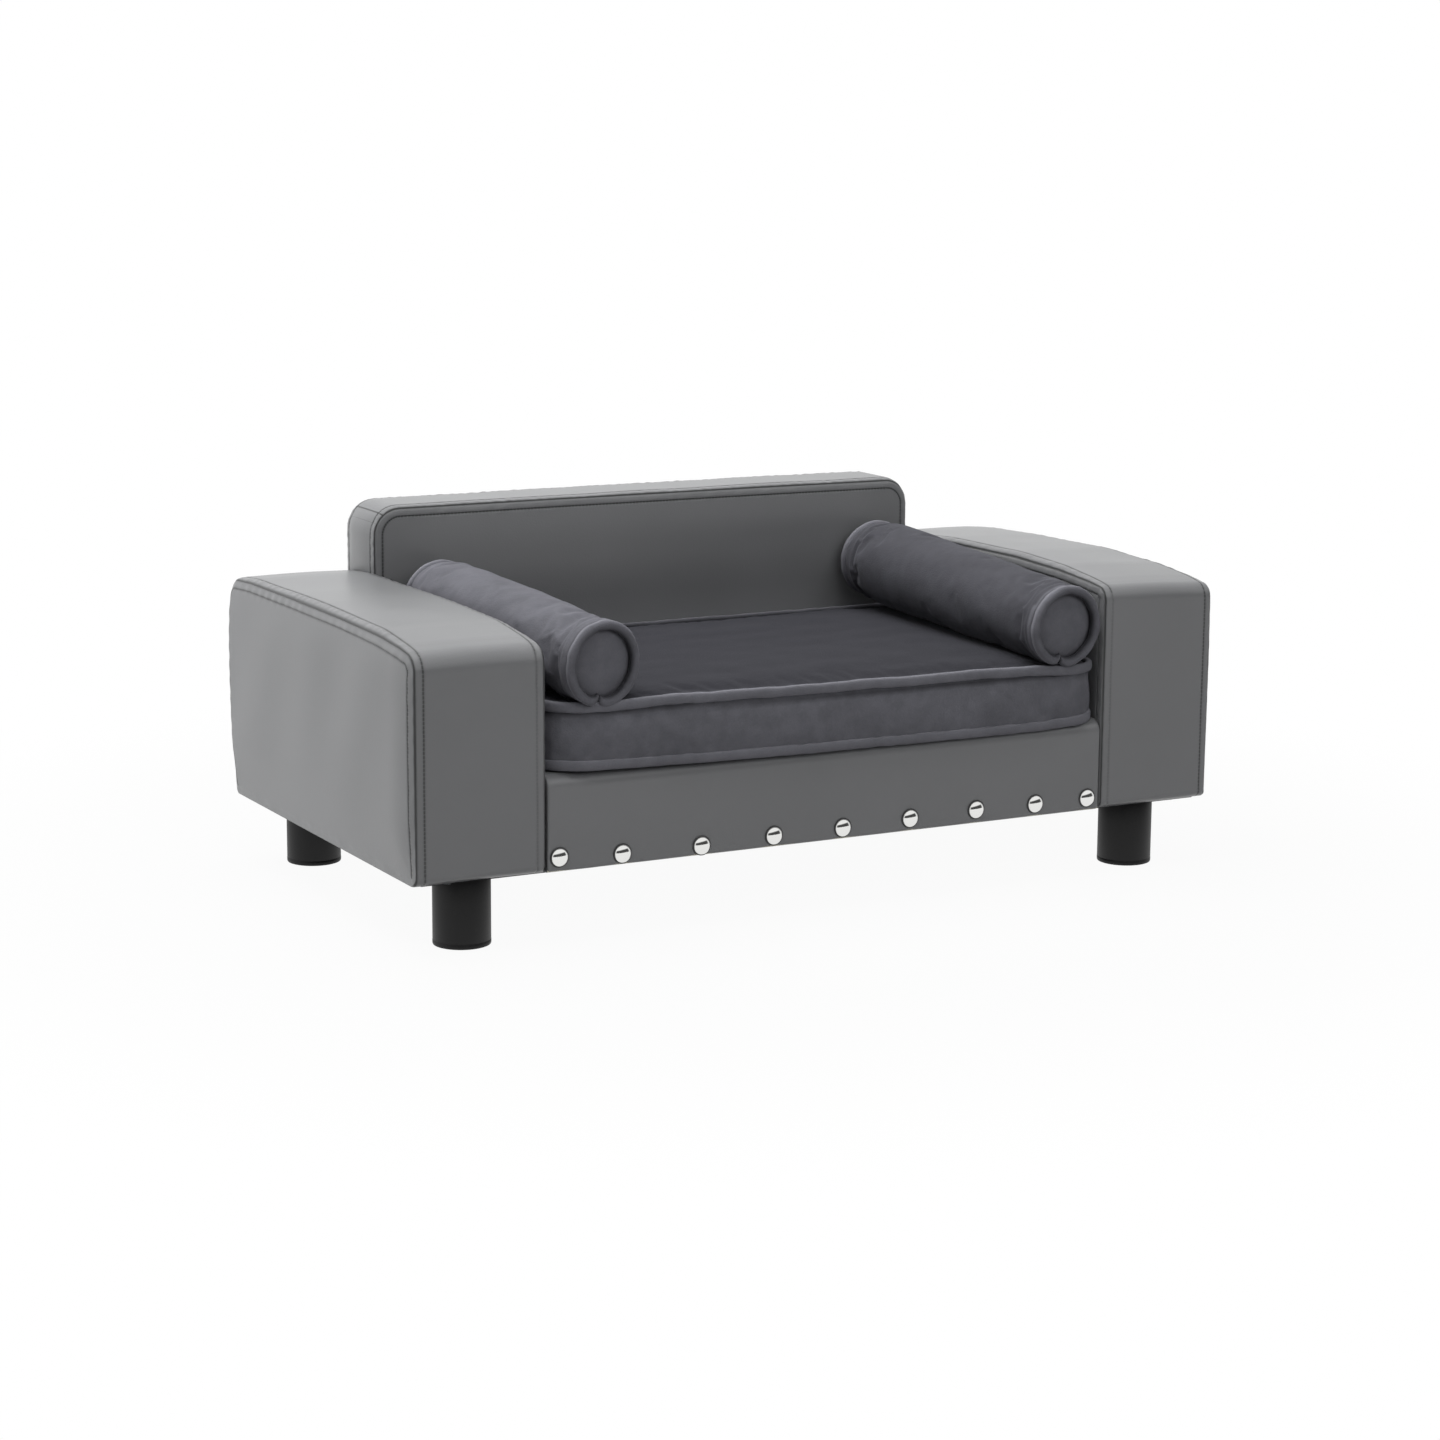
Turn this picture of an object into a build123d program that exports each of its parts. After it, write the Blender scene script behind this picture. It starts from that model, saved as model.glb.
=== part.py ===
"""Dog sofa bed: a plywood frame under padding and faux leather, four screwed feet,
a loose boxed cushion with a zip, and two loose bolsters.

Lengths are in millimetres. +X is to the right seen from the front, the front faces -Y, and
+Z is up. The origin is on the floor, under the middle of the upholstered frame.
"""

import os
from math import asin, degrees, sqrt

from build123d import *

# Whole sofa
sofa_width = 810
sofa_depth = 430
sofa_height = 334
foot_height = 62.5

# Layers of the upholstery
leather_thickness = 1.2
padding_thickness = 8
fit_gap = 0.3  # between curved faces that lie on each other
hem_width = 22  # leather turned under each cover
seam_set_back = 2.2  # from a cover's flat face to the seam beside it
cover_edge_radius = 7  # rounding over every long seam
hidden_cut_share = 0.8  # flat cut of a hidden edge, as a share of its rounding
cut_overrun = 5  # how far every cutting tool reaches past what it cuts

# Arms
arm_width = 123
arm_height = 270  # top of the crown, above the floor
arm_crown = 8  # how far the top falls from its middle to its ends
arm_front_radius = 17
arm_rear_radius = 20
arm_bottom_cut = 7  # flat cut that stands for the soft corners at the bottom
arm_board_thickness = 9
arm_bottom_thickness = 12  # carries the feet

# Seat base, between the arms
deck_height = 149  # top of the covered deck, above the floor
base_front_radius = 12
base_rail_thickness = 18
deck_thickness = 9
batten_width = 30
batten_height = 42
base_end_gap = 0.3  # to each arm

# Backrest, between the arms
backrest_thickness = 71
backrest_corner_radius = 24
backrest_board_thickness = 6
backrest_post_width = 18
backrest_corner_cut = 14  # cut off the boards' top corners

# Dust cover
dust_cover_thickness = 0.8
dust_cover_set_back = 10  # from the sofa's outline

# Feet
foot_radius = 25
foot_side_inset = 62  # foot's centre from the sofa's side
foot_end_inset = 44  # foot's centre from the sofa's front or rear
stud_radius = 4
stud_grip = 30  # length of the stud inside the foot
stud_end = 3  # length of the stud past its nut
stud_gap = 0.15
nut_across_flats = 13
nut_height = 6.5
fastener_sides = 8  # flats that stand for a thread's round, on studs and screws

# Screws that join base and backrest to the arms
screw_radius = 2.75
screw_length = 50
screw_point = 7
screw_across_flats = 10
screw_head_height = 4
screw_gap = 0.15
base_screw_shares = (0.18, 0.8)  # of the base's depth, from the front
backrest_screw_shares = (0.6,)  # of the arm box's height, from its bottom

# Dome nails in the front rail
nail_head_radius = 7.25
nail_head_height = 4.6
nail_shank_width = 2
nail_length = 20
nail_height = 75.5  # above the floor
nail_shares = (-0.96, -0.746, -0.475, -0.218, 0.03, 0.276, 0.525, 0.752, 0.954)

# Seat cushion
cushion_side_gap = 0.5  # welt to arm
cushion_back_gap = 0.5  # welt to backrest
cushion_rest_gap = 0.3  # cushion to deck
cushion_overhang = 2  # front welt past the front rail
cushion_edge_height = 54  # bottom to top seam, at the front
cushion_rise = 10  # of the top seam, from front to rear
cushion_corner_radius = 40
cushion_front_bow = 3
cushion_side_draw = 3  # how far the sides pull in between the corners
plush_thickness = 2
welt_proud = 4
welt_height = 8
welt_edge_cut = 1.5
crown_height = 6
crown_edge = 0.8
crown_station_shares = (-1, -0.66, 0, 0.66, 1)
crown_height_shares = (0.25, 0.4, 1, 0.4, 0.25)

# Zip in the cushion's rear side
zip_length = 260
zip_tape_width = 24
zip_tape_thickness = 0.5
zip_chain_width = 5
zip_chain_thickness = 1.2
zip_stop_length = 4
slider_length = 11
slider_width = 9
slider_wall = 0.7
slider_gap = 0.25
pull_length = 20
pull_width = 6
pull_thickness = 0.7
pull_slot = 3

# Bolsters
bolster_back_gap = 14  # rear end to the backrest
bolster_radius = 40.5
bolster_end_radius = 39.4
bolster_overhang = 5  # front end past the arm's front
bolster_side_gap = 0.5  # to the arm
bolster_rest_gap = 0.6  # to the cushion
bolster_welt_width = 9
bolster_welt_depth = 7

# Places that several pieces share
half_width = sofa_width / 2
half_depth = sofa_depth / 2
inner_x = half_width - arm_width
arm_centre_x = half_width - arm_width / 2
cover_bottom = foot_height + dust_cover_thickness
lining = leather_thickness + fit_gap
box_bottom = cover_bottom + lining
shell_depth = lining + padding_thickness
arm_box_top = arm_height - arm_crown - shell_depth
backrest_front = half_depth - backrest_thickness
base_half_length = inner_x - base_end_gap
base_box_front = -half_depth + shell_depth
base_box_top = deck_height - shell_depth
backrest_box_top = sofa_height - shell_depth
base_box_depth = backrest_front - base_box_front
backrest_centre_y = half_depth - backrest_thickness / 2
foot_places = {
    "front_left": (-half_width + foot_side_inset, -half_depth + foot_end_inset),
    "front_right": (half_width - foot_side_inset, -half_depth + foot_end_inset),
    "rear_left": (-half_width + foot_side_inset, half_depth - foot_end_inset),
    "rear_right": (half_width - foot_side_inset, half_depth - foot_end_inset),
}

stud_opening = 2 * (stud_radius + stud_gap)

os.makedirs("parts", exist_ok=True)


def save(part, name):
    """Label a finished piece and write it under its own name."""
    part.label = name
    export_step(part, f"parts/{name}.step")


# Screw places: (x of the head's seat, y, z) on the right-hand side
base_screw_z = (box_bottom + base_box_top - deck_thickness) / 2
base_screw_x = base_half_length - base_rail_thickness
backrest_post_x = base_half_length - shell_depth
backrest_screw_x = backrest_post_x - backrest_post_width
screw_places = [
    (base_screw_x, base_box_front + share * base_box_depth, base_screw_z)
    for share in base_screw_shares
] + [
    (backrest_screw_x, backrest_centre_y, box_bottom + share * (arm_box_top - box_bottom))
    for share in backrest_screw_shares
]
base_screws = screw_places[: len(base_screw_shares)]
backrest_screws = screw_places[len(base_screw_shares) :]


def screw_openings(places, side):
    """Cut along X where each screw passes boards, padding and leather."""
    width = 2 * (screw_radius + screw_gap)
    for x, y, z in places:
        with Locations((side * x, y, z)):
            Box(2 * (screw_length + cut_overrun), width, width, mode=Mode.SUBTRACT)


def ease(edges, radius, hidden):
    """Round the given edges or corners, or cut them flat where they are hidden."""
    if hidden:
        chamfer(edges, hidden_cut_share * radius)
    else:
        fillet(edges, radius=radius)


def arm_body(side, inset, hidden=False):
    """The arm's outline drawn in by inset on every face, its corners and edges eased."""
    width = arm_width - 2 * inset
    end = half_depth - inset
    bottom = cover_bottom + inset
    top = arm_height - arm_crown - inset
    with BuildPart() as body:
        with BuildSketch(Plane.YZ.offset(side * arm_centre_x - width / 2)) as profile:
            with BuildLine():
                Polyline((-end, top), (-end, bottom), (end, bottom), (end, top))
                ThreePointArc((end, top), (0, arm_height - inset), (-end, top))
            make_face()
            for corner, radius in (((-end, top), arm_front_radius), ((end, top), arm_rear_radius)):
                ease(profile.vertices().sort_by_distance(corner)[0], radius - inset, hidden)
            low_corners = profile.vertices().group_by(Axis.Y)[0]
            chamfer(low_corners, arm_bottom_cut - (2 - sqrt(2)) * inset)
        extrude(amount=width)
        ends = body.faces().sort_by(Axis.X)
        edges = ends[0].edges() + ends[-1].edges()
        above = edges.filter_by(lambda edge: edge.center().Z > bottom + arm_bottom_cut)
        ease(above, cover_edge_radius - inset, hidden)
    return body.part


def backrest_body(inset, hidden=False):
    """The backrest's outline drawn in by inset on every face, its corners and edges eased."""
    half = base_half_length - inset
    with BuildPart() as body:
        with BuildSketch(Plane.XZ.offset(-half_depth + inset)) as profile:
            with BuildLine():
                Polyline(
                    (-half, cover_bottom + inset),
                    (half, cover_bottom + inset),
                    (half, sofa_height - inset),
                    (-half, sofa_height - inset),
                    close=True,
                )
            make_face()
            corners = profile.vertices().group_by(Axis.Y)[-1]
            ease(corners, backrest_corner_radius - inset, hidden)
        extrude(amount=backrest_thickness - 2 * inset)
        sides = body.faces().sort_by(Axis.Y)
        edges = sides[0].edges() + sides[-1].edges()
        above = edges.filter_by(lambda edge: edge.center().Z > cover_bottom + inset + cut_overrun)
        ease(above, cover_edge_radius - inset, hidden)
    return body.part


# Arms: a plywood box, padding round it, and a leather cover sewn from three panels
for side, hand in ((-1, "left"), (1, "right")):
    centre_x = side * arm_centre_x
    box_width = arm_width - 2 * shell_depth
    box_depth = sofa_depth - 2 * shell_depth
    wall_bottom = box_bottom + arm_bottom_thickness
    wall_top = arm_box_top - arm_board_thickness
    wall_height = wall_top - wall_bottom
    wall_z = (wall_top + wall_bottom) / 2
    board_x = box_width / 2 - arm_board_thickness / 2
    board_y = box_depth / 2 - arm_board_thickness / 2
    arm_feet = [place for place in foot_places.values() if place[0] * side > 0]

    with BuildPart() as outer_board:
        with Locations((centre_x + side * board_x, 0, wall_z)):
            Box(arm_board_thickness, box_depth, wall_height)
    save(outer_board.part, f"{hand}_arm_outer_board")

    with BuildPart() as inner_board:
        with Locations((centre_x - side * board_x, 0, wall_z)):
            Box(arm_board_thickness, box_depth, wall_height)
        screw_openings(screw_places, side)
    save(inner_board.part, f"{hand}_arm_inner_board")

    for end, end_name in ((-1, "front"), (1, "rear")):
        with BuildPart() as end_board:
            with Locations((centre_x, end * board_y, wall_z)):
                Box(box_width - 2 * arm_board_thickness, arm_board_thickness, wall_height)
        save(end_board.part, f"{hand}_arm_{end_name}_board")

    with BuildPart() as top_board:
        with Locations((centre_x, 0, arm_box_top - arm_board_thickness / 2)):
            Box(box_width, box_depth, arm_board_thickness)
    save(top_board.part, f"{hand}_arm_top_board")

    with BuildPart() as bottom_board:
        with Locations((centre_x, 0, box_bottom + arm_bottom_thickness / 2)):
            Box(box_width, box_depth, arm_bottom_thickness)
        with Locations(*[(x, y, wall_bottom) for x, y in arm_feet]):
            Box(stud_opening, stud_opening, 3 * arm_bottom_thickness, mode=Mode.SUBTRACT)
    save(bottom_board.part, f"{hand}_arm_bottom_board")

    padding_outline = arm_body(side, lining, hidden=True)
    with BuildPart() as padding:
        add(padding_outline)
        with Locations((centre_x, 0, arm_box_top)):
            Box(
                box_width,
                box_depth,
                arm_box_top,
                align=(Align.CENTER, Align.CENTER, Align.MAX),
                mode=Mode.SUBTRACT,
            )
        screw_openings(screw_places, side)
    save(padding.part, f"{hand}_arm_padding")

    cover_outline = arm_body(side, 0)
    cover_hollow = arm_body(side, leather_thickness, hidden=True)
    with BuildPart() as arm_cover:
        add(cover_outline)
        add(cover_hollow, mode=Mode.SUBTRACT)
        with Locations((centre_x, 0, cover_bottom)):
            Box(
                arm_width - 2 * hem_width,
                sofa_depth - 2 * hem_width,
                2 * cut_overrun,
                mode=Mode.SUBTRACT,
            )
        screw_openings(screw_places, side)

    outer_seam = Plane.YZ.offset(side * (half_width - seam_set_back))
    inner_seam = Plane.YZ.offset(side * (inner_x + seam_set_back))
    outside, inside = (Keep.TOP, Keep.BOTTOM) if side > 0 else (Keep.BOTTOM, Keep.TOP)
    with BuildPart() as outer_panel:
        add(arm_cover.part)
        split(bisect_by=outer_seam, keep=outside)
    save(outer_panel.part, f"{hand}_arm_outer_panel")

    with BuildPart() as inner_panel:
        add(arm_cover.part)
        split(bisect_by=inner_seam, keep=inside)
    save(inner_panel.part, f"{hand}_arm_inner_panel")

    with BuildPart() as band:
        add(arm_cover.part)
        split(bisect_by=outer_seam, keep=inside)
        split(bisect_by=inner_seam, keep=outside)
    save(band.part, f"{hand}_arm_band")


# Seat base: rails, batten and deck between the arms
rail_top = base_box_top - deck_thickness
rail_height = rail_top - box_bottom
rail_z = (rail_top + box_bottom) / 2
base_length = 2 * base_half_length
side_rail_depth = base_box_depth - 2 * base_rail_thickness
side_rail_y = base_box_front + base_box_depth / 2
nail_places = [(share * inner_x, nail_height) for share in nail_shares]


def nail_holes():
    """Cut square holes for the nails' shanks, from the front."""
    with Locations(*[(x, -half_depth, z) for x, z in nail_places]):
        Box(nail_shank_width, 2 * nail_length, nail_shank_width, mode=Mode.SUBTRACT)


with BuildPart() as front_rail:
    with Locations((0, base_box_front + base_rail_thickness / 2, rail_z)):
        Box(base_length, base_rail_thickness, rail_height)
    nail_holes()
save(front_rail.part, "base_front_rail")

with BuildPart() as rear_rail:
    with Locations((0, backrest_front - base_rail_thickness / 2, rail_z)):
        Box(base_length, base_rail_thickness, rail_height)
save(rear_rail.part, "base_rear_rail")

for side, hand in ((-1, "left"), (1, "right")):
    with BuildPart() as side_rail:
        with Locations((side * (base_half_length - base_rail_thickness / 2), side_rail_y, rail_z)):
            Box(base_rail_thickness, side_rail_depth, rail_height)
        screw_openings(base_screws, side)
    save(side_rail.part, f"base_{hand}_rail")

with BuildPart() as batten:
    with Locations((0, side_rail_y, rail_top - batten_height / 2)):
        Box(batten_width, side_rail_depth, batten_height)
save(batten.part, "base_middle_batten")

with BuildPart() as deck:
    with Locations((0, side_rail_y, base_box_top - deck_thickness / 2)):
        Box(base_length, base_box_depth, deck_thickness)
save(deck.part, "seat_deck")


def base_section(inset):
    """The base's side outline, open at the rear, drawn in by inset at the front and top."""
    with BuildSketch() as section:
        with BuildLine():
            Polyline(
                (-half_depth + inset, cover_bottom + inset),
                (backrest_front, cover_bottom + inset),
                (backrest_front, deck_height - inset),
                (-half_depth + inset, deck_height - inset),
                close=True,
            )
        make_face()
        front = section.vertices().group_by(Axis.X)[0]
        fillet(front.sort_by(Axis.Y)[-1], radius=base_front_radius - inset)
    return section.sketch


base_outline = base_section(0)
base_hollow = base_section(leather_thickness)
base_padding_outline = base_section(lining)

with BuildPart() as base_padding:
    with BuildSketch(Plane.YZ.offset(-base_half_length)):
        add(base_padding_outline)
        with BuildLine():
            Polyline(
                (base_box_front, 0),
                (half_depth, 0),
                (half_depth, base_box_top),
                (base_box_front, base_box_top),
                close=True,
            )
        make_face(mode=Mode.SUBTRACT)
    extrude(amount=base_length)
    nail_holes()
save(base_padding.part, "base_padding")

with BuildPart() as base_cover:
    with BuildSketch(Plane.YZ.offset(-base_half_length)):
        add(base_outline)
        add(base_hollow, mode=Mode.SUBTRACT)
        with BuildLine():
            Polyline(
                (-half_depth + hem_width, 0),
                (half_depth, 0),
                (half_depth, box_bottom + cut_overrun),
                (-half_depth + hem_width, box_bottom + cut_overrun),
                close=True,
            )
        make_face(mode=Mode.SUBTRACT)
    extrude(amount=base_length)
    nail_holes()
save(base_cover.part, "base_cover")


# Backrest: a hollow plywood box, padding and a cover sewn from three panels
post_depth = backrest_thickness - 2 * shell_depth - 2 * backrest_board_thickness
box_half = backrest_post_x
post_top = backrest_box_top - backrest_corner_cut


def backrest_board_sketch():
    """A board's outline on the sofa's XZ plane, with its top corners cut."""
    with BuildSketch() as outline:
        with BuildLine():
            Polyline(
                (-box_half, box_bottom),
                (box_half, box_bottom),
                (box_half, post_top),
                (box_half - backrest_corner_cut, backrest_box_top),
                (-box_half + backrest_corner_cut, backrest_box_top),
                (-box_half, post_top),
                close=True,
            )
        make_face()
    return outline.sketch


board_outline = backrest_board_sketch()
board_faces = {
    "backrest_front_board": backrest_front + shell_depth + backrest_board_thickness,
    "backrest_rear_board": half_depth - shell_depth,
}
for name, rear_face in board_faces.items():
    with BuildPart() as board:
        with BuildSketch(Plane.XZ.offset(-rear_face)):
            add(board_outline)
        extrude(amount=backrest_board_thickness)
    save(board.part, name)

top_rail_bottom = backrest_box_top - backrest_post_width
with BuildPart() as top_rail:
    with Locations((0, backrest_centre_y, top_rail_bottom + backrest_post_width / 2)):
        Box(2 * (box_half - backrest_post_width), post_depth, backrest_post_width)
save(top_rail.part, "backrest_top_rail")

for side, hand in ((-1, "left"), (1, "right")):
    with BuildPart() as post:
        with Locations(
            (
                side * (box_half - backrest_post_width / 2),
                backrest_centre_y,
                (box_bottom + post_top) / 2,
            )
        ):
            Box(backrest_post_width, post_depth, post_top - box_bottom)
        screw_openings(backrest_screws, side)
    save(post.part, f"backrest_{hand}_post")

backrest_padding_outline = backrest_body(lining, hidden=True)
with BuildPart() as backrest_padding:
    add(backrest_padding_outline)
    with BuildSketch(Plane.XZ.offset(-half_depth + shell_depth)):
        add(board_outline)
    extrude(amount=backrest_thickness - 2 * shell_depth, mode=Mode.SUBTRACT)
    with Locations((0, backrest_centre_y, box_bottom)):
        Box(
            2 * box_half,
            backrest_thickness - 2 * shell_depth,
            2 * cut_overrun,
            mode=Mode.SUBTRACT,
        )
    for side in (-1, 1):
        screw_openings(backrest_screws, side)
save(backrest_padding.part, "backrest_padding")

backrest_outline = backrest_body(0)
backrest_hollow = backrest_body(leather_thickness, hidden=True)
with BuildPart() as backrest_cover:
    add(backrest_outline)
    add(backrest_hollow, mode=Mode.SUBTRACT)
    with Locations((0, backrest_centre_y, cover_bottom)):
        Box(
            2 * (base_half_length - hem_width),
            backrest_thickness - hem_width,
            2 * cut_overrun,
            mode=Mode.SUBTRACT,
        )
    for side in (-1, 1):
        screw_openings(backrest_screws, side)

front_seam = Plane.XZ.offset(-backrest_front - seam_set_back)
rear_seam = Plane.XZ.offset(-half_depth + seam_set_back)
with BuildPart() as backrest_front_panel:
    add(backrest_cover.part)
    split(bisect_by=front_seam, keep=Keep.TOP)
save(backrest_front_panel.part, "backrest_front_panel")

with BuildPart() as backrest_rear_panel:
    add(backrest_cover.part)
    split(bisect_by=rear_seam, keep=Keep.BOTTOM)
save(backrest_rear_panel.part, "backrest_rear_panel")

with BuildPart() as backrest_band:
    add(backrest_cover.part)
    split(bisect_by=front_seam, keep=Keep.BOTTOM)
    split(bisect_by=rear_seam, keep=Keep.TOP)
save(backrest_band.part, "backrest_band")


# Dust cover, stapled under all of the boxes, with a slit for each stud
with BuildPart() as dust_cover:
    with Locations((0, 0, foot_height + dust_cover_thickness / 2)):
        Box(
            sofa_width - 2 * dust_cover_set_back,
            sofa_depth - 2 * dust_cover_set_back,
            dust_cover_thickness,
        )
    with Locations(*[(x, y, foot_height) for x, y in foot_places.values()]):
        Box(stud_opening, stud_opening, 2 * cut_overrun, mode=Mode.SUBTRACT)
save(dust_cover.part, "dust_cover")


# Feet: a plain round leg with a blind bore for its stud
for name, (x, y) in foot_places.items():
    with BuildPart() as foot:
        with BuildSketch(Plane.XY):
            Circle(foot_radius)
        extrude(amount=foot_height)
        with BuildSketch(Plane.XY.offset(foot_height)):
            RegularPolygon(stud_radius + stud_gap, fastener_sides)
        extrude(amount=-stud_grip - stud_gap, mode=Mode.SUBTRACT)
    save(Pos(x, y, 0) * foot.part, f"{name}_foot")

nut_seat = box_bottom + arm_bottom_thickness
stud_length = nut_seat + nut_height + stud_end - foot_height + stud_grip
with BuildPart() as foot_studs:
    for x, y in foot_places.values():
        with BuildSketch(Plane((x, y, foot_height - stud_grip))):
            RegularPolygon(stud_radius, fastener_sides)
    extrude(amount=stud_length)
save(foot_studs.part, "foot_studs")

with BuildPart() as foot_nuts:
    for x, y in foot_places.values():
        with BuildSketch(Plane((x, y, nut_seat))):
            RegularPolygon(nut_across_flats / 2, 6, major_radius=False)
            RegularPolygon(stud_radius + stud_gap, fastener_sides, mode=Mode.SUBTRACT)
    extrude(amount=nut_height)
save(foot_nuts.part, "foot_nuts")


# Hex-head wood screws, from the base and backrest into the arms' inner boards
with BuildPart() as screw:
    with BuildSketch():
        RegularPolygon(screw_radius, fastener_sides)
    extrude(amount=screw_length)
    chamfer(screw.faces().sort_by(Axis.Z)[-1].edges(), screw_point, screw_radius / 2)
    with BuildSketch():
        RegularPolygon(screw_across_flats / 2, 6, major_radius=False)
    extrude(amount=-screw_head_height)
with BuildPart() as joining_screws:
    for side in (-1, 1):
        for x, y, z in screw_places:
            with Locations(Location((side * x, y, z), (0, side * 90, 0))):
                add(screw.part)
save(joining_screws.part, "joining_screws")


# Dome nails along the bottom of the front rail
cap_radius = (nail_head_radius**2 + nail_head_height**2) / (2 * nail_head_height)
with BuildPart() as nail:
    with BuildSketch(Plane.XZ):
        with BuildLine():
            Line((0, 0), (nail_head_radius, 0))
            RadiusArc((nail_head_radius, 0), (0, nail_head_height), -cap_radius)
            Line((0, nail_head_height), (0, 0))
        make_face()
    revolve(axis=Axis.Z)
    with BuildSketch():
        Rectangle(nail_shank_width, nail_shank_width)
    extrude(amount=-nail_length + nail_head_height)
with BuildPart() as decor_nails:
    for x, z in nail_places:
        with Locations(Location((x, -half_depth, z), (90, 0, 0))):
            add(nail.part)
save(decor_nails.part, "decor_nails")


# Seat cushion: foam in a plush cover with welts, its top rising towards the backrest
cushion_half_width = inner_x - cushion_side_gap
cushion_front = -half_depth - cushion_overhang
cushion_rear = backrest_front - cushion_back_gap
cushion_depth = cushion_rear - cushion_front
cushion_y = (cushion_front + cushion_rear) / 2
cushion_bottom = deck_height + cushion_rest_gap
cushion_tilt = degrees(asin(cushion_rise / cushion_depth))
seam_middle_z = cushion_bottom + cushion_edge_height + cushion_rise / 2
bottom_plane = Plane((0, cushion_y, cushion_bottom))
seam_plane = Plane((0, cushion_y, seam_middle_z)).rotated((cushion_tilt, 0, 0))


def cushion_outline(inset):
    """The cushion seen from above: a bowed front, drawn-in sides and a straight rear."""
    half = cushion_half_width - inset
    front, rear = -cushion_depth / 2 + inset, cushion_depth / 2 - inset
    with BuildSketch() as outline:
        with BuildLine():
            ThreePointArc((-half, front), (0, front - cushion_front_bow), (half, front))
            ThreePointArc((half, front), (half - cushion_side_draw, 0), (half, rear))
            Line((half, rear), (-half, rear))
            ThreePointArc((-half, rear), (-half + cushion_side_draw, 0), (-half, front))
        make_face()
        fillet(outline.vertices(), radius=cushion_corner_radius - inset)
    return outline.sketch


def crown_section(station, height, drop):
    """One upright cut through the crown, across the seat from front to rear."""
    reach = cushion_depth / 2 + cut_overrun
    place = seam_plane.from_local_coords(Vector(station, 0, 0))
    depth_way = seam_plane.y_dir
    with BuildSketch(Plane(place, x_dir=depth_way, z_dir=(1, 0, 0))) as section:
        with BuildLine():
            Polyline((reach, crown_edge - drop), (reach, -sofa_height), (-reach, -sofa_height))
            Line((-reach, -sofa_height), (-reach, crown_edge - drop))
            ThreePointArc((-reach, crown_edge - drop), (0, height - drop), (reach, crown_edge - drop))
        make_face()
    return section.sketch


def crowned_block(inset, bottom, drop):
    """The cushion's outline, drawn in by inset, from bottom up to the crown less drop."""
    outline = cushion_outline(inset)
    reach = cushion_half_width + cut_overrun
    sections = [
        crown_section(station * reach, height * crown_height, drop)
        for station, height in zip(crown_station_shares, crown_height_shares)
    ]
    with BuildPart() as crown:
        loft(sections)
    with BuildPart() as block:
        with BuildSketch(bottom_plane.offset(bottom)):
            add(outline)
        extrude(amount=sofa_height)
        add(crown.part, mode=Mode.INTERSECT)
    return block.part


foam_inset = welt_proud + plush_thickness + fit_gap
foam_block = crowned_block(foam_inset, plush_thickness, plush_thickness + fit_gap)
with BuildPart() as cushion_foam:
    add(foam_block)
save(cushion_foam.part, "cushion_foam")

cover_block = crowned_block(welt_proud, 0, 0)
cover_space = crowned_block(welt_proud + plush_thickness, plush_thickness, plush_thickness)
with BuildPart() as cushion_cover:
    add(cover_block)
    add(cover_space, mode=Mode.SUBTRACT)
bottom_seam_plane = bottom_plane.offset(plush_thickness)

with BuildPart() as cushion_top_panel:
    add(cushion_cover.part)
    split(bisect_by=seam_plane.offset(-plush_thickness), keep=Keep.TOP)
save(cushion_top_panel.part, "cushion_top_panel")

with BuildPart() as cushion_boxing:
    add(cushion_cover.part)
    split(bisect_by=seam_plane.offset(-plush_thickness), keep=Keep.BOTTOM)
    split(bisect_by=bottom_seam_plane, keep=Keep.TOP)
save(cushion_boxing.part, "cushion_boxing")

with BuildPart() as cushion_bottom_panel:
    add(cushion_cover.part)
    split(bisect_by=bottom_seam_plane, keep=Keep.BOTTOM)
save(cushion_bottom_panel.part, "cushion_bottom_panel")

welt_outline = cushion_outline(0)
welt_hole = cushion_outline(welt_proud - fit_gap)
welt_planes = {
    "cushion_bottom_welt": bottom_plane,
    "cushion_top_welt": seam_plane.offset(-welt_height / 2),
}
for name, plane in welt_planes.items():
    with BuildPart() as welt:
        with BuildSketch(plane):
            add(welt_outline)
        extrude(amount=welt_height)
        if name == "cushion_top_welt":
            chamfer(welt.faces().sort_by(Axis.Z)[-1].edges(), welt_edge_cut)
        with BuildSketch(bottom_plane.offset(-cut_overrun)):
            add(welt_hole)
        extrude(amount=sofa_height, mode=Mode.SUBTRACT)
    save(welt.part, name)


# Zip on the cushion's rear side, and its slider with a pull that hangs flat
zip_face = cushion_rear - welt_proud
zip_z = cushion_bottom + (cushion_edge_height + cushion_rise) / 2
chain_face = zip_face + zip_tape_thickness + zip_chain_thickness
zip_plane = Plane((0, zip_face, zip_z), x_dir=(-1, 0, 0), z_dir=(0, 1, 0))
with BuildPart() as cushion_zip:
    with BuildSketch(zip_plane):
        Rectangle(zip_length, zip_tape_width)
    extrude(amount=zip_tape_thickness)
    with BuildSketch(zip_plane.offset(zip_tape_thickness)):
        Rectangle(zip_length - 2 * zip_stop_length, zip_chain_width)
    extrude(amount=zip_chain_thickness)
save(cushion_zip.part, "cushion_zip")

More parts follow.
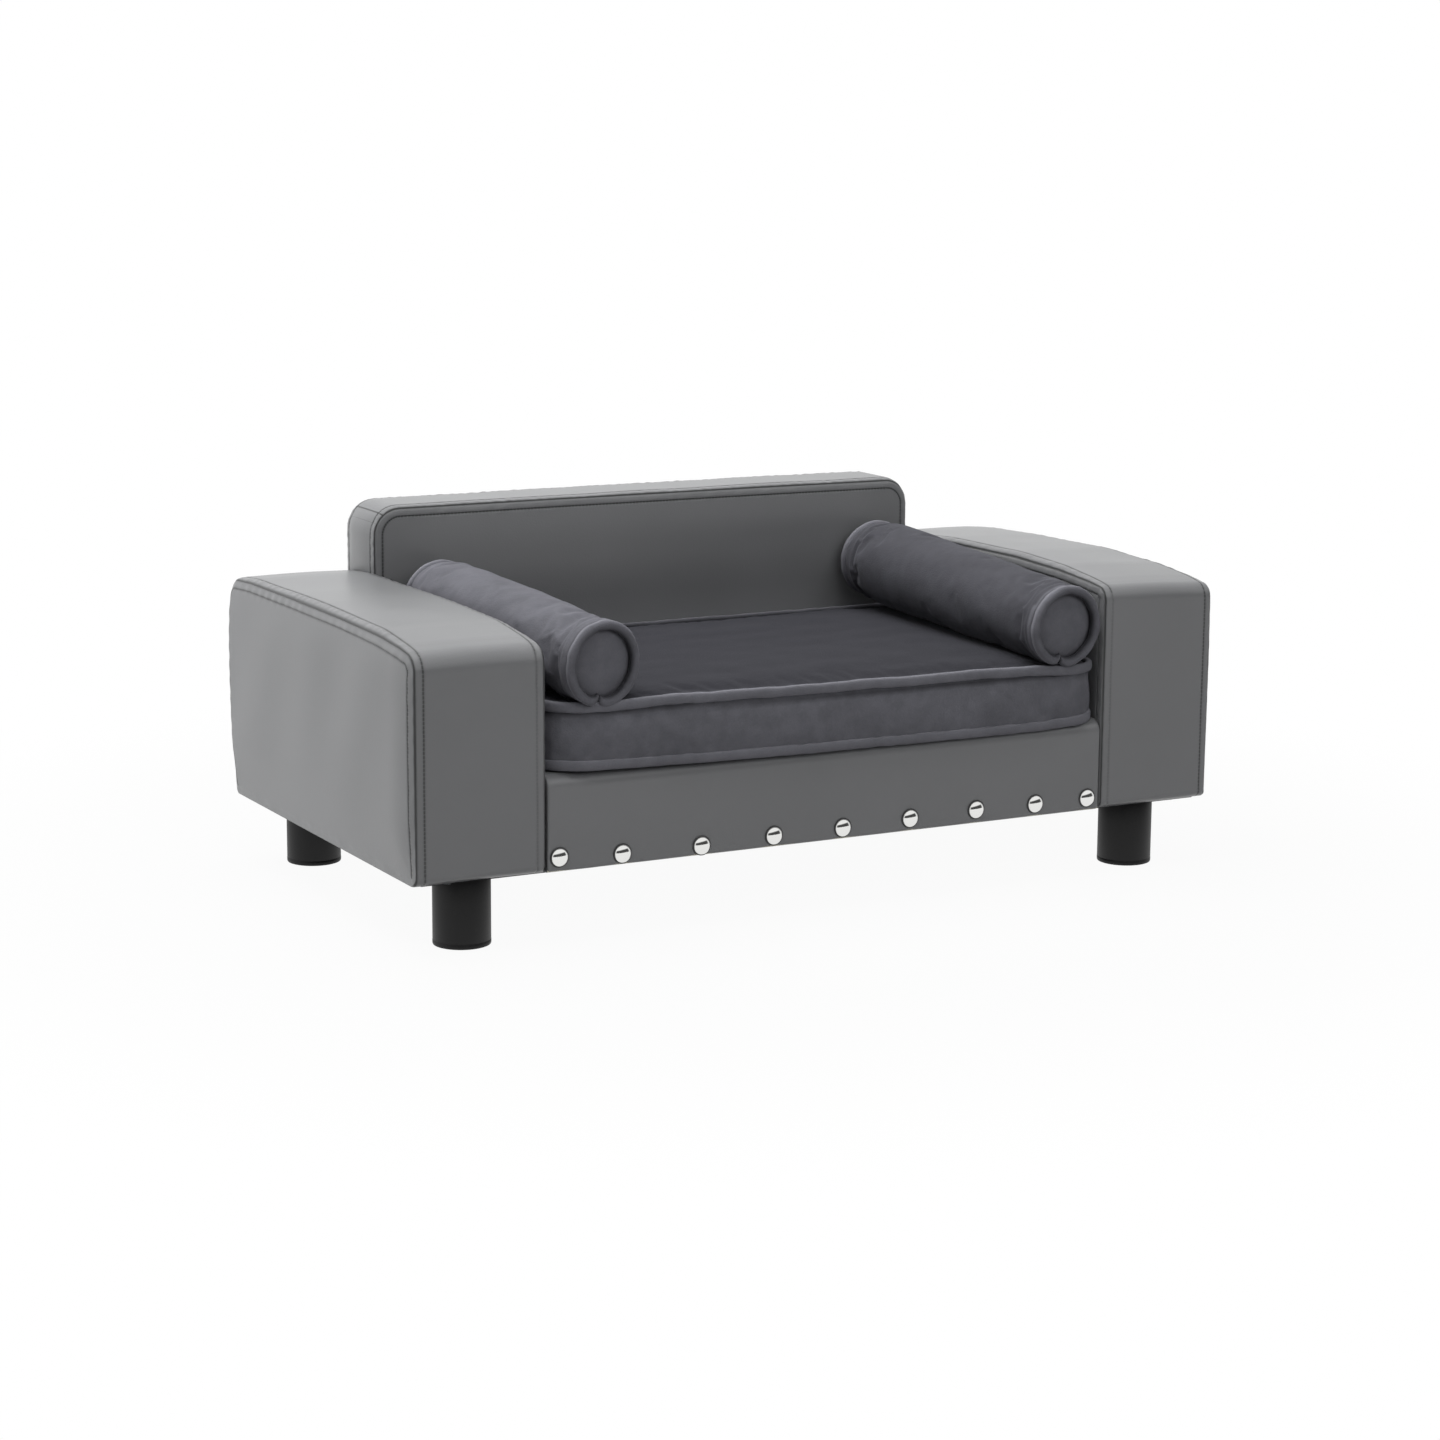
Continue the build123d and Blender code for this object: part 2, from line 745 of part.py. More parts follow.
slider_x = zip_length / 2 - 2 * zip_stop_length - slider_length / 2
slider_base = zip_plane.offset(zip_tape_thickness + slider_gap)
slider_start = slider_base.from_local_coords(Vector(slider_x, 0, 0))
slider_place = Plane(slider_start, x_dir=(-1, 0, 0), z_dir=(0, 1, 0))
slider_depth = zip_chain_thickness + slider_wall
with BuildPart() as zip_slider:
    with BuildSketch(slider_place):
        Rectangle(slider_length, slider_width)
    extrude(amount=slider_depth)
    with BuildSketch(slider_place):
        Rectangle(2 * slider_length, zip_chain_width + 2 * slider_gap)
    extrude(amount=zip_chain_thickness, mode=Mode.SUBTRACT)
    with BuildSketch(slider_place.offset(slider_depth)) as pull:
        with Locations((0, -pull_length / 2 + pull_width / 2)):
            Rectangle(pull_width, pull_length)
        with Locations((0, -pull_length + pull_width)):
            Rectangle(pull_slot, pull_slot, mode=Mode.SUBTRACT)
    extrude(amount=pull_thickness)
save(zip_slider.part, "zip_slider")


# Bolsters: a plush roll with a welt standing round each end disc
core_start = bolster_welt_depth + plush_thickness + fit_gap
core_radius = bolster_radius - plush_thickness
bolster_front = -half_depth - bolster_overhang
bolster_rear = backrest_front - bolster_back_gap
bolster_length = (bolster_rear - bolster_front) / seam_plane.y_dir.Y
bolster_lift = crown_height * crown_height_shares[1] + bolster_rest_gap + bolster_radius
for side, hand in ((-1, "left"), (1, "right")):
    bolster_x = side * (inner_x - bolster_side_gap - bolster_radius)
    along = (bolster_front - cushion_y) / seam_plane.y_dir.Y
    start = seam_plane.from_local_coords(Vector(bolster_x, along, bolster_lift))
    end_plane = Plane(start, x_dir=(1, 0, 0), z_dir=seam_plane.y_dir)

    with BuildPart() as filling:
        with BuildSketch(end_plane.offset(core_start + fit_gap)):
            Circle(core_radius - fit_gap)
        extrude(amount=bolster_length - 2 * (core_start + fit_gap))
    save(filling.part, f"{hand}_bolster_filling")

    with BuildPart() as roll_cover:
        with BuildSketch(end_plane.offset(core_start - plush_thickness)):
            Circle(bolster_radius)
        extrude(amount=bolster_length - 2 * (core_start - plush_thickness))
        with BuildSketch(end_plane.offset(core_start)):
            Circle(core_radius)
        extrude(amount=bolster_length - 2 * core_start, mode=Mode.SUBTRACT)
    save(roll_cover.part, f"{hand}_bolster_cover")

    with BuildPart() as roll_welts:
        for offset in (0, bolster_length - bolster_welt_depth):
            with BuildSketch(end_plane.offset(offset)):
                Circle(bolster_end_radius)
                Circle(bolster_end_radius - bolster_welt_width, mode=Mode.SUBTRACT)
            extrude(amount=bolster_welt_depth)
    save(roll_welts.part, f"{hand}_bolster_welts")
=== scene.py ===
"""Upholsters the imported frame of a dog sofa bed: leather covers, plush cushion and bolsters,
moulded feet, dome nails and staples, with the studio and the camera of the photograph.

The frame is in metres. Shapes are worked out in millimetres and scaled once, in put_mesh.
"""

import math

import bpy
import numpy as np
from mathutils import Matrix, Vector


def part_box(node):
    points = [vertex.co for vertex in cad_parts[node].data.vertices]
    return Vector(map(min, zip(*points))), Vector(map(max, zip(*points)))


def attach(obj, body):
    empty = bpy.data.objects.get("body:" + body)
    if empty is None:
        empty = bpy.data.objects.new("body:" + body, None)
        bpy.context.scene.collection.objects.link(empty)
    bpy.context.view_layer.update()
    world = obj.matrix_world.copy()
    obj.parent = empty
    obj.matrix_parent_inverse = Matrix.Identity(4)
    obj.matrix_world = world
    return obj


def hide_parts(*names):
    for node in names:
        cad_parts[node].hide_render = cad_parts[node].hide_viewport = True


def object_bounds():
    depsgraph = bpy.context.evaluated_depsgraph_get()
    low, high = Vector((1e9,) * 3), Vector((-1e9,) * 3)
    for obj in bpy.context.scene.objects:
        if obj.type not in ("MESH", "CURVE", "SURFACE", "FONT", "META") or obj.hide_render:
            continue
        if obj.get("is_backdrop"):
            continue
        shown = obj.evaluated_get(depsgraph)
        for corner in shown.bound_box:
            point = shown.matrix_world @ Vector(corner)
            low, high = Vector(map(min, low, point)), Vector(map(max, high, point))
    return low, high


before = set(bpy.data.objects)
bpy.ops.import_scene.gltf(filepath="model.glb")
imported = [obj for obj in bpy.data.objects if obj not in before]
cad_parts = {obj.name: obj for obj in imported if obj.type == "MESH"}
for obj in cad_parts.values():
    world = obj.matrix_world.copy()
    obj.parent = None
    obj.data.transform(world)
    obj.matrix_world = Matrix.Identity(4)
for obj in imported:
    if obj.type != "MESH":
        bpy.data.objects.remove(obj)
CAD_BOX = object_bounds()

bl_info = {
    "name": "Dog sofa bed",
    "version": (1, 0, 0),
    "blender": (4, 5, 0),
    "location": "View3D > Sidebar > Dog sofa",
    "description": "Leather, plush, feet and nails of a dog sofa bed around its packed frame",
    "category": "Add Mesh",
}

MM = 0.001
UNDERSIDE = 63.6  # height of the arms' and the base's lower edge
HEM_FACE = 62.3  # the dust cover's underside, where the feet end and the staples sit
ARM_OUTER_SEAM = 403.0
ARM_INNER_SEAM = 284.2
BACKREST_SEAMS = (146.2, 212.8)
BACKREST_DEPTH = 66.6
BASE_HALF = 282.0
RAIL_FACE = -215.0
TOPSTITCH = 7.6  # from the seam to the row of stitches, on both sides
STITCH_GROOVE = 0.55  # how deep the stitches draw the leather in
SEAM_DEPTH = 0.77  # how deep the seam lies between the rolled edges
EDGE_ROLL = 1.7  # radius of the leather's roll into a seam
HEM_SPREAD = 2.0  # how far a panel stands out over the seam line where it turns under
JOINT_MARK = 20.0  # value of the joint attribute on a joint of the band
CLOTH_FRAMES = 20
NAILS = [
    (-271, 77), (-211, 74), (-134, 73), (-62, 74.5), (8, 74.5), (78, 76), (148, 77), (212, 76),
    (269, 76),
]


def ease(low, high, value):
    """Rises from 0 at low to 1 at high along the cubic 3t^2 - 2t^3."""
    t = np.clip((value - low) / (high - low), 0, 1)
    return t * t * (3 - 2 * t)


def bell(distance, width):
    """Falls from 1 at no distance as exp(-(distance / width)^2)."""
    return np.exp(-((distance / width) ** 2))


def rounded(wave, power):
    """A sine or cosine raised to a power with its sign kept, which squares a circle's sides."""
    return np.sign(wave) * np.abs(wave) ** power


def full_turn(count):
    """Even angles round a circle, the last one step before the first."""
    return np.linspace(0, 2 * np.pi, count, endpoint=False)


def ripple(seed, size, *coordinates):
    """Sum of eight sine waves with lengths near size, in seeded directions: about -1 to 1."""
    random = np.random.default_rng(seed)
    total = 0
    for _ in range(8):
        direction = random.normal(size=len(coordinates))
        direction /= np.linalg.norm(direction)
        length = size * random.uniform(0.7, 1.6)
        along = sum(part * place for part, place in zip(direction, coordinates))
        total = total + np.sin(2 * np.pi * along / length + random.uniform(0, 2 * np.pi))
    return total / 4


def unit(vectors):
    """Each row divided by its own length."""
    return vectors / np.linalg.norm(vectors, axis=-1, keepdims=True)


def run_along(path):
    """Distance of each point from the first, along the path."""
    return np.concatenate([[0], np.cumsum(np.linalg.norm(np.diff(path, axis=0), axis=1))])


def inset_corners(corners, inset):
    """Each side of the closed polygon moved inwards by inset: a corner moves along the sum of
    the two inward normals, divided by one plus their dot product."""
    sides = unit(np.roll(corners, -1, axis=0) - corners)
    normals = np.stack([-sides[:, 1], sides[:, 0]], axis=1)
    before = np.roll(normals, 1, axis=0)
    share = 1 + (normals * before).sum(axis=1, keepdims=True)
    return corners + inset * (normals + before) / share


def rounded_outline(corners, radii, fractions, inset=0.0):
    """Closed outline with an arc at each corner, and its outward normals.

    An arc of radius r that turns by the angle a starts r * tan(a / 2) before its corner. The
    straight after corner i has points at fractions[i] of its length, so the outlines at two
    insets match point by point.
    """
    corners = np.asarray(corners, float)
    sides = unit(np.roll(corners, -1, axis=0) - corners)
    before = np.roll(sides, 1, axis=0)
    turns = np.arctan2(
        before[:, 0] * sides[:, 1] - before[:, 1] * sides[:, 0], (before * sides).sum(axis=1)
    )
    radii = np.maximum(np.asarray(radii, float) - np.sign(turns) * inset, 0.4)
    corners = inset_corners(corners, inset)
    reaches = (radii * np.tan(np.abs(turns) / 2))[:, None]
    starts = corners - before * reaches
    ends = corners + sides * reaches
    points, tangents = [], []
    for i, (turn, radius) in enumerate(zip(turns, radii)):
        steps = max(2, int(math.ceil(abs(turn) / 0.19)) + 1)
        angle = np.linspace(0, abs(turn), steps)[:, None]
        inward = np.sign(turn) * np.array([-before[i, 1], before[i, 0]])
        reach = np.sin(angle) * before[i] + (1 - np.cos(angle)) * inward
        points.append(starts[i] + radius * reach)
        tangents.append(np.cos(angle) * before[i] + np.sin(angle) * inward)
        share = np.asarray(fractions[i])[:, None]
        following = starts[(i + 1) % len(corners)]
        points.append(ends[i] + share * (following - ends[i]))
        tangents.append(np.repeat(sides[i][None], len(share), axis=0))
    points, tangents = np.concatenate(points), np.concatenate(tangents)
    return points, np.stack([tangents[:, 1], -tangents[:, 0]], axis=1)


def even_fractions(corners, spacings):
    """Inner points of every side of the polygon, about a spacing apart."""
    lengths = np.linalg.norm(np.roll(corners, -1, axis=0) - corners, axis=1)
    counts = [max(2, int(round(length / spacing))) for length, spacing in zip(lengths, spacings)]
    return [(np.arange(count) + 0.5) / count for count in counts]


def grid_faces(rows, columns):
    """Quads of a grid of rows by columns, the last column joined to the first."""
    index = np.arange(rows * columns).reshape(rows, columns)
    index = np.concatenate([index, index[:, :1]], axis=1)
    quads = np.stack([index[:-1, :-1], index[:-1, 1:], index[1:, 1:], index[1:, :-1]], axis=-1)
    return quads.reshape(-1, 4)


def hub_strip(along):
    """Triangles that close a slim ring of points, given each point's place along its length.

    From the ring's first point two chains run round to its last. Their steps are taken in the
    order of their middles, and each joins its two ends to where the other chain has got to.
    """
    first, count = int(np.argmin(along)), len(along)
    ahead = (int(np.argmax(along)) - first) % count
    one = (first + np.arange(ahead + 1)) % count
    two = (first - np.arange(count - ahead + 1)) % count
    places = [np.maximum.accumulate(along[chain]) for chain in (one, two)]
    mid_one, mid_two = ((place[1:] + place[:-1]) / 2 for place in places)
    on_one = np.stack([one[:-1], one[1:], two[np.searchsorted(mid_two, mid_one, "left")]], axis=1)
    on_two = np.stack([two[1:], two[:-1], one[np.searchsorted(mid_one, mid_two, "right")]], axis=1)
    faces = np.concatenate([on_one, on_two])
    return faces[(faces[:, 0] != faces[:, 2]) & (faces[:, 1] != faces[:, 2])]


def add_attribute(mesh, key, values):
    """A named number on each point, which the materials read."""
    mesh.attributes.new(key, "FLOAT", "POINT").data.foreach_set("value", np.ravel(values))


def put_mesh(name, points, faces, material, uv=None, attributes=None, caps=()):
    """A smooth-shaded object from points in millimetres and arrays of faces.

    caps are single faces with more corners. uv holds one pair for each corner of faces. The
    faces are turned round where the signed volume, the sum of each corner times the cross
    product of the next two, comes out negative.
    """
    polygons = faces.tolist() + [list(cap) for cap in caps]
    fan = [(p[0], p[i], p[i + 1]) for p in polygons for i in range(1, len(p) - 1)]
    a, b, c = (points[np.array(fan)[:, i]] for i in range(3))
    inside_out = np.einsum("ij,ij->", a, np.cross(b, c)) < 0
    mesh = bpy.data.meshes.new(name)
    mesh.from_pydata((points * MM).tolist(), [], polygons)
    if uv is not None:
        corners = np.zeros((len(mesh.loops), 2))
        corners[: faces.size] = uv.reshape(-1, 2)
        mesh.uv_layers.new(name="UVMap").data.foreach_set("uv", corners.ravel())
    for key, values in (attributes or {}).items():
        add_attribute(mesh, key, values)
    if inside_out:
        mesh.flip_normals()
    mesh.shade_smooth()
    mesh.materials.append(material)
    piece = bpy.data.objects.new(name, mesh)
    bpy.context.collection.objects.link(piece)
    return piece


def lofted(name, rings, material, attributes=None):
    """A skin over closed rings of points, one row each, with a cap on the first and the last."""
    rings = np.asarray(rings)
    rows, columns = rings.shape[:2]
    ring = np.arange(columns)
    return put_mesh(
        name, rings.reshape(-1, 3), grid_faces(rows, columns), material,
        attributes=attributes, caps=(ring[::-1], ring + (rows - 1) * columns),
    )


def subdivide(piece):
    """One live subdivision, which rounds a swelled skin."""
    smooth = piece.modifiers.new("subdivision", "SUBSURF")
    smooth.levels = smooth.render_levels = 1


def edge_rows(roll):
    """Distances from a seam at which an upholstered face gets rows, and each row's true
    distance and drop: inside the roll's radius they follow a circle from 45 degrees to flat."""
    steps = np.array(
        [0, 0.5, 1.2, 2.0, 3.2, 4.8, 6.2, 6.9, 7.3, 7.6, 7.9, 8.3, 9.0, 10.5, 12.5, 15.5]
    )
    angle = math.pi / 4 * np.clip(1 - steps / roll, 0, 1)
    distance = np.where(steps < roll, roll * (1 - np.sin(angle)), steps)
    drop = np.where(steps < roll, roll * (1 - np.cos(angle)), 0)
    return steps, distance, drop


def wrapped_cover(
    name, shape, place, seams, swell, material, seam_mask, stitched,
    joints=(), faint=None, middle_step=9.0, roll=EDGE_ROLL,
):
    """A cover sewn round a box: a band along the outline, and a panel on either side of it.

    shape is (corners, radii, fractions, hub) of the outline, and seams the two places of the
    panels across it. Near a seam both faces roll in along a quarter circle and meet in a fold,
    which is darkened with painted shade. Further in, a panel's points lie on lines from the
    outline to the hub, a short segment in its middle. swell gives each face's height over the
    box in millimetres. joints are places on the outline where two lengths of the band are sewn
    together. faint names the seam, low or high, whose stitches sink in everywhere but on top.
    """
    corners, radii, fractions, hub = shape
    steps, distance, drop = edge_rows(roll)
    outline, normals = rounded_outline(corners, radii, fractions)
    run = run_along(outline)
    total = run[-1] + np.linalg.norm(outline[0] - outline[-1])
    mask = seam_mask(outline)
    sewn = mask * stitched
    low, high = seams
    across = abs(high - low)
    way = 1 if high > low else -1

    inner = rounded_outline(corners, radii, fractions, steps[-1])[0]
    core = np.stack([np.clip(outline[:, 0], hub[0], hub[1]), np.full(len(outline), hub[2])], axis=1)
    rays = np.array([0.06, 0.14, 0.24, 0.36, 0.5, 0.66, 0.82, 0.94])
    # The innermost row ends in half ellipses beyond the hub's two ends
    lift = (inner - core)[:, 1] / np.abs(inner - core)[:, 1].max()
    core[:, 0] += 0.07 * (inner - core)[:, 0] * np.sqrt(1 - np.clip(lift, -1, 1) ** 2)

    def height_at(face, step, flat, depth, fall, far):
        """Height of a row over the box: swelled, and drawn in at the seam and the stitches."""
        groove = STITCH_GROOVE * bell(step - TOPSTITCH, 0.7) * sewn
        return -fall - depth - groove + swell(face, flat, np.full(len(flat), far), normals, run)

    def panel(face):
        """Rows of one side panel, from the seam inwards: places, heights and distances."""
        rows = []
        for step, along, fall in zip(steps, distance, drop):
            depth = SEAM_DEPTH * (step == 0) * sewn
            flat = rounded_outline(corners, radii, fractions, along)[0] - normals * depth[:, None]
            rows.append((flat, height_at(face, step, flat, depth, fall, step), step))
        for ray in rays:
            flat = inner + ray * (core - inner)
            far = steps[-1] + ray * np.linalg.norm(core - inner, axis=1)
            rows.append((flat, swell(face, flat, far, normals, run), far.mean()))
        return rows

    def band():
        """Rows across the band, from the low seam to the high one."""
        middle = np.arange(steps[-1], across / 2, middle_step)[1:]
        half = np.concatenate([steps, middle, [across / 2]])
        true = np.concatenate([distance, middle, [across / 2]])
        fall = np.concatenate([drop, 0 * middle, [0]])
        widths = np.concatenate([half, across - half[-2::-1]])
        rows = []
        for row, width in enumerate(widths):
            near = min(row, len(widths) - 1 - row)
            step, along = half[near], true[near]
            depth = SEAM_DEPTH * (step == 0) * sewn
            height = height_at("band", step, outline, depth, fall[near], width)
            inset = along + depth - HEM_SPREAD * (1 - mask) * math.exp(-step / 2)
            offset = inset if row < len(widths) / 2 else across - inset
            rows.append((outline + normals * height[:, None], offset, width))
        return rows

    points, ups = [], []
    for flat, height, step in reversed(panel("low")[1:]):
        points.append(place(flat, low - way * height))
        ups.append(-step)
    for flat, offset, width in band():
        points.append(place(flat, low + way * offset))
        ups.append(width)
    for flat, height, step in panel("high")[1:]:
        points.append(place(flat, high + way * height))
        ups.append(across + step)
    ups = np.array(ups)
    near = np.minimum(np.abs(ups), np.abs(ups - across))
    stitch = bell(near - TOPSTITCH, 1.0)[:, None] * sewn
    if faint:
        at_seam = (ups < across / 2) == (faint == "low")
        sunk = 0.35 + 0.65 * ease(0.3, 0.8, normals[:, 1])
        stitch = stitch * np.where(at_seam[:, None], sunk, 1.0)
    # Painted shade along each seam's fold, weaker where the seam is not stitched
    painted_seam_shade = bell(near, 1.15)[:, None] * mask * (1.0 if stitched else 0.35)
    rows, columns = len(points), len(outline)
    # Distance along the band from the nearest joint, with the mark at the joint itself
    joint = np.zeros((rows, columns))
    on_band = ((ups >= 0) & (ups <= across))[:, None]
    for spot in joints:
        off = run - run[np.argmin(np.linalg.norm(outline - spot, axis=1))]
        joint = np.where(on_band & (np.abs(off) < 10), JOINT_MARK + off, joint)

    ends = np.append(run, total)
    u = np.stack([ends[:-1], ends[1:], ends[1:], ends[:-1]], axis=-1)[None]
    v = np.stack([ups[:-1], ups[:-1], ups[1:], ups[1:]], axis=-1)[:, None]
    uv = np.stack(np.broadcast_arrays(u, v), axis=-1) * MM
    strip = hub_strip(inner[:, 0] + rays[-1] * (core - inner)[:, 0])
    return put_mesh(
        name, np.concatenate(points), grid_faces(rows, columns), material, uv,
        attributes={"stitch": stitch, "painted_seam_shade": painted_seam_shade, "joint": joint},
        caps=np.concatenate([strip[:, ::-1], strip + (rows - 1) * columns]),
    )


def linear(hex_colour):
    """sRGB hex to linear red, green, blue and alpha."""
    values = np.array([int(hex_colour[i : i + 2], 16) / 255 for i in (1, 3, 5)])
    light = np.where(values <= 0.04045, values / 12.92, ((values + 0.055) / 1.055) ** 2.4)
    return (*light.tolist(), 1.0)


# The kinds of node that are used most
MATH = "ShaderNodeMath"
MIX = "ShaderNodeMix"
MAP = "ShaderNodeMapRange"


def add_node(tree, kind, inputs=None, **settings):
    """Add a node with its settings, and fill its inputs with values or links."""
    node = tree.nodes.new(kind)
    for key, value in settings.items():
        setattr(node, key, value)
    for key, value in (inputs or {}).items():
        if isinstance(value, bpy.types.NodeSocket):
            tree.links.new(value, node.inputs[key])
        else:
            node.inputs[key].default_value = value
    return node


def new_material(name):
    """An empty node material and its shader, joined to the output."""
    material = bpy.data.materials.new(name)
    material.use_nodes = True
    tree = material.node_tree
    tree.nodes.clear()
    shader = add_node(tree, "ShaderNodeBsdfPrincipled")
    output = add_node(tree, "ShaderNodeOutputMaterial")
    tree.links.new(shader.outputs[0], output.inputs[0])
    return material, tree, shader


def fill(tree, shader, **inputs):
    """Set or link the shader's sockets, underscores standing for spaces in their names."""
    for key, value in inputs.items():
        socket = shader.inputs[key.replace("_", " ")]
        if isinstance(value, bpy.types.NodeSocket):
            tree.links.new(value, socket)
        else:
            socket.default_value = value


def faux_leather(colour, dark):
    """Smooth PU-coated cloth: satin, with a fine pebble grain, lighter cloudy patches of painted
    reflection and painted shade along its sewn seams.
    """
    material, tree, shader = new_material("pu_coated_faux_leather")
    place = add_node(tree, "ShaderNodeTexCoord").outputs["Object"]
    # Grain pebbles are 0.8 mm on the real coating; 1.3 mm is the finest that still shows
    pebbles = {"Vector": place, "Scale": 1 / 0.0013, "Randomness": 1.0}
    grain = add_node(tree, "ShaderNodeTexVoronoi", pebbles, feature="F1").outputs["Distance"]
    broad = {"Vector": place, "Scale": 1 / 0.16, "Detail": 3.0}
    cloud = add_node(tree, "ShaderNodeTexNoise", broad).outputs[0]
    close = {"Vector": place, "Scale": 1 / 0.004, "Detail": 2.0}
    fine = add_node(tree, "ShaderNodeTexNoise", close).outputs[0]
    stitch = add_node(tree, "ShaderNodeAttribute", attribute_name="stitch").outputs["Fac"]
    painted_seam_shade = add_node(tree, "ShaderNodeAttribute", attribute_name="painted_seam_shade").outputs["Fac"]
    joint = add_node(tree, "ShaderNodeAttribute", attribute_name="joint").outputs["Fac"]
    seam_run = add_node(tree, "ShaderNodeUVMap", uv_map="UVMap").outputs[0]
    run = add_node(tree, "ShaderNodeSeparateXYZ", {0: seam_run}).outputs[0]
    # Stitches 3.6 mm long with a needle hole between them
    counted = add_node(tree, MATH, {0: run, 1: 0.0036}, operation="DIVIDE").outputs[0]
    phase = add_node(tree, MATH, {0: counted}, operation="FRACT").outputs[0]
    thread = add_node(tree, MATH, {0: phase, 1: 0.24}, operation="GREATER_THAN").outputs[0]
    pull = {0: thread, 1: 0.4, 2: 0.58}
    pulled = add_node(tree, MATH, pull, operation="MULTIPLY_ADD").outputs[0]
    sewn = add_node(tree, MATH, {0: stitch, 1: pulled}, operation="MULTIPLY").outputs[0]
    marked = {0: joint, 1: JOINT_MARK, 2: 0.7}
    joined = add_node(tree, MATH, marked, operation="COMPARE").outputs[0]
    # Painted reflection: broad cloudy patches lightened towards a paler grey
    painted_reflection_mix = {0: 0.35, 6: linear(colour), 7: linear("#7d7d80")}
    painted_reflection_tone = add_node(tree, MIX, painted_reflection_mix, data_type="RGBA").outputs[2]
    clouded = {0: cloud, 6: linear(colour), 7: painted_reflection_tone}
    body = add_node(tree, MIX, clouded, data_type="RGBA").outputs[2]
    lined = {0: sewn, 6: body, 7: linear(dark)}
    lines = add_node(tree, MIX, lined, data_type="RGBA").outputs[2]
    # Painted shade in the seams' folds, with the dark line on the band's joints, mixed towards the
    # seam colour
    deep = add_node(tree, MATH, {0: painted_seam_shade, 1: joined}, operation="MAXIMUM").outputs[0]
    shade = add_node(tree, MATH, {0: deep, 1: 0.95}, operation="MULTIPLY").outputs[0]
    shaded = {0: shade, 6: lines, 7: linear(dark)}
    surface = add_node(tree, MIX, shaded, data_type="RGBA").outputs[2]
    small = add_node(tree, MATH, {0: fine, 1: 0.4}, operation="MULTIPLY").outputs[0]
    pebbled = {0: grain, 1: 0.6, 2: small}
    coating = add_node(tree, MATH, pebbled, operation="MULTIPLY_ADD").outputs[0]
    raised = add_node(tree, MATH, {0: thread, 1: stitch}, operation="MULTIPLY").outputs[0]
    threaded = {0: raised, 1: 1.2, 2: coating}
    height = add_node(tree, MATH, threaded, operation="MULTIPLY_ADD").outputs[0]
    relief = {"Height": height, "Strength": 0.16, "Distance": 0.0006}
    bump = add_node(tree, "ShaderNodeBump", relief).outputs[0]
    uneven = {0: cloud, 1: 0.08, 2: 0.31}
    rough = add_node(tree, MATH, uneven, operation="MULTIPLY_ADD").outputs[0]
    fill(tree, shader, Base_Color=surface, Roughness=rough, Normal=bump)
    fill(tree, shader, IOR=1.5, Specular_IOR_Level=0.4)
    # The clear topcoat brightens whatever is seen at a grazing angle
    fill(tree, shader, Coat_Weight=0.15, Coat_Roughness=0.3, Coat_IOR=1.5, Coat_Normal=bump)
    return material


def plush(colour, bright):
    """Short-pile velvet plush: matt with a bright grazing sheen, lighter brushed patches, painted
    shade on darkened faces and seams, and painted highlight on welt ridges.
    """
    material, tree, shader = new_material("short_pile_plush")
    place = add_node(tree, "ShaderNodeTexCoord").outputs["Object"]
    patches = {"Vector": place, "Scale": 1 / 0.05, "Detail": 4.0, "Distortion": 0.6}
    nap_and_painted_shade = add_node(tree, "ShaderNodeTexNoise", patches).outputs[0]
    # Pile is under 0.3 mm thick; tufts of 1.6 mm are as fine as the picture can show
    pile = {"Vector": place, "Scale": 1 / 0.0016, "Detail": 2.0}
    tufts = add_node(tree, "ShaderNodeTexNoise", pile).outputs[0]
    strokes = {"Vector": place, "Scale": 1 / 0.012, "Detail": 2.0}
    lay = add_node(tree, "ShaderNodeTexNoise", strokes).outputs[0]
    close = add_node(tree, MATH, {0: lay, 1: 0.4}, operation="MULTIPLY").outputs[0]
    both = {0: nap_and_painted_shade, 1: 0.6, 2: close}
    brushed = add_node(tree, MATH, both, operation="MULTIPLY_ADD").outputs[0]
    lifted = add_node(tree, MAP, {0: brushed, 1: 0.32, 2: 0.62}).outputs[0]
    tint = {0: lifted, 6: linear(colour), 7: linear(bright)}
    pale = add_node(tree, MIX, tint, data_type="RGBA").outputs[2]
    depth = add_node(tree, MATH, {0: tufts, 1: 0.2}, operation="MULTIPLY").outputs[0]
    between = {0: depth, 6: pale, 7: linear("#2c2c30")}
    surface = add_node(tree, MIX, between, data_type="RGBA").outputs[2]
    # Painted shade darkens the seat's top and the right bolster, as if less light fell on them. A
    # welt's ridge is lightened with painted highlight, and the seam beside it darkened with painted
    # shade
    tones = (("nap_and_painted_shade", 0.92, "#1f1f23"), ("painted_ridge_highlight", 0.6, "#77777d"), ("painted_seam_shade", 0.85, "#19191c"))
    for key, share, tone in tones:
        amount = add_node(tree, "ShaderNodeAttribute", attribute_name=key).outputs["Fac"]
        part = add_node(tree, MATH, {0: amount, 1: share}, operation="MULTIPLY").outputs[0]
        toned = {0: part, 6: surface, 7: linear(tone)}
        surface = add_node(tree, MIX, toned, data_type="RGBA").outputs[2]
    rise = {0: lay, 1: 0.8, 2: tufts}
    height = add_node(tree, MATH, rise, operation="MULTIPLY_ADD").outputs[0]
    relief = {"Height": height, "Strength": 0.35, "Distance": 0.001}
    bump = add_node(tree, "ShaderNodeBump", relief).outputs[0]
    fill(tree, shader, Base_Color=surface, Roughness=0.92, Normal=bump, Specular_IOR_Level=0.15)
    fill(tree, shader, Sheen_Weight=0.16, Sheen_Roughness=0.4, Sheen_Tint=linear("#b9bac2"))
    return material


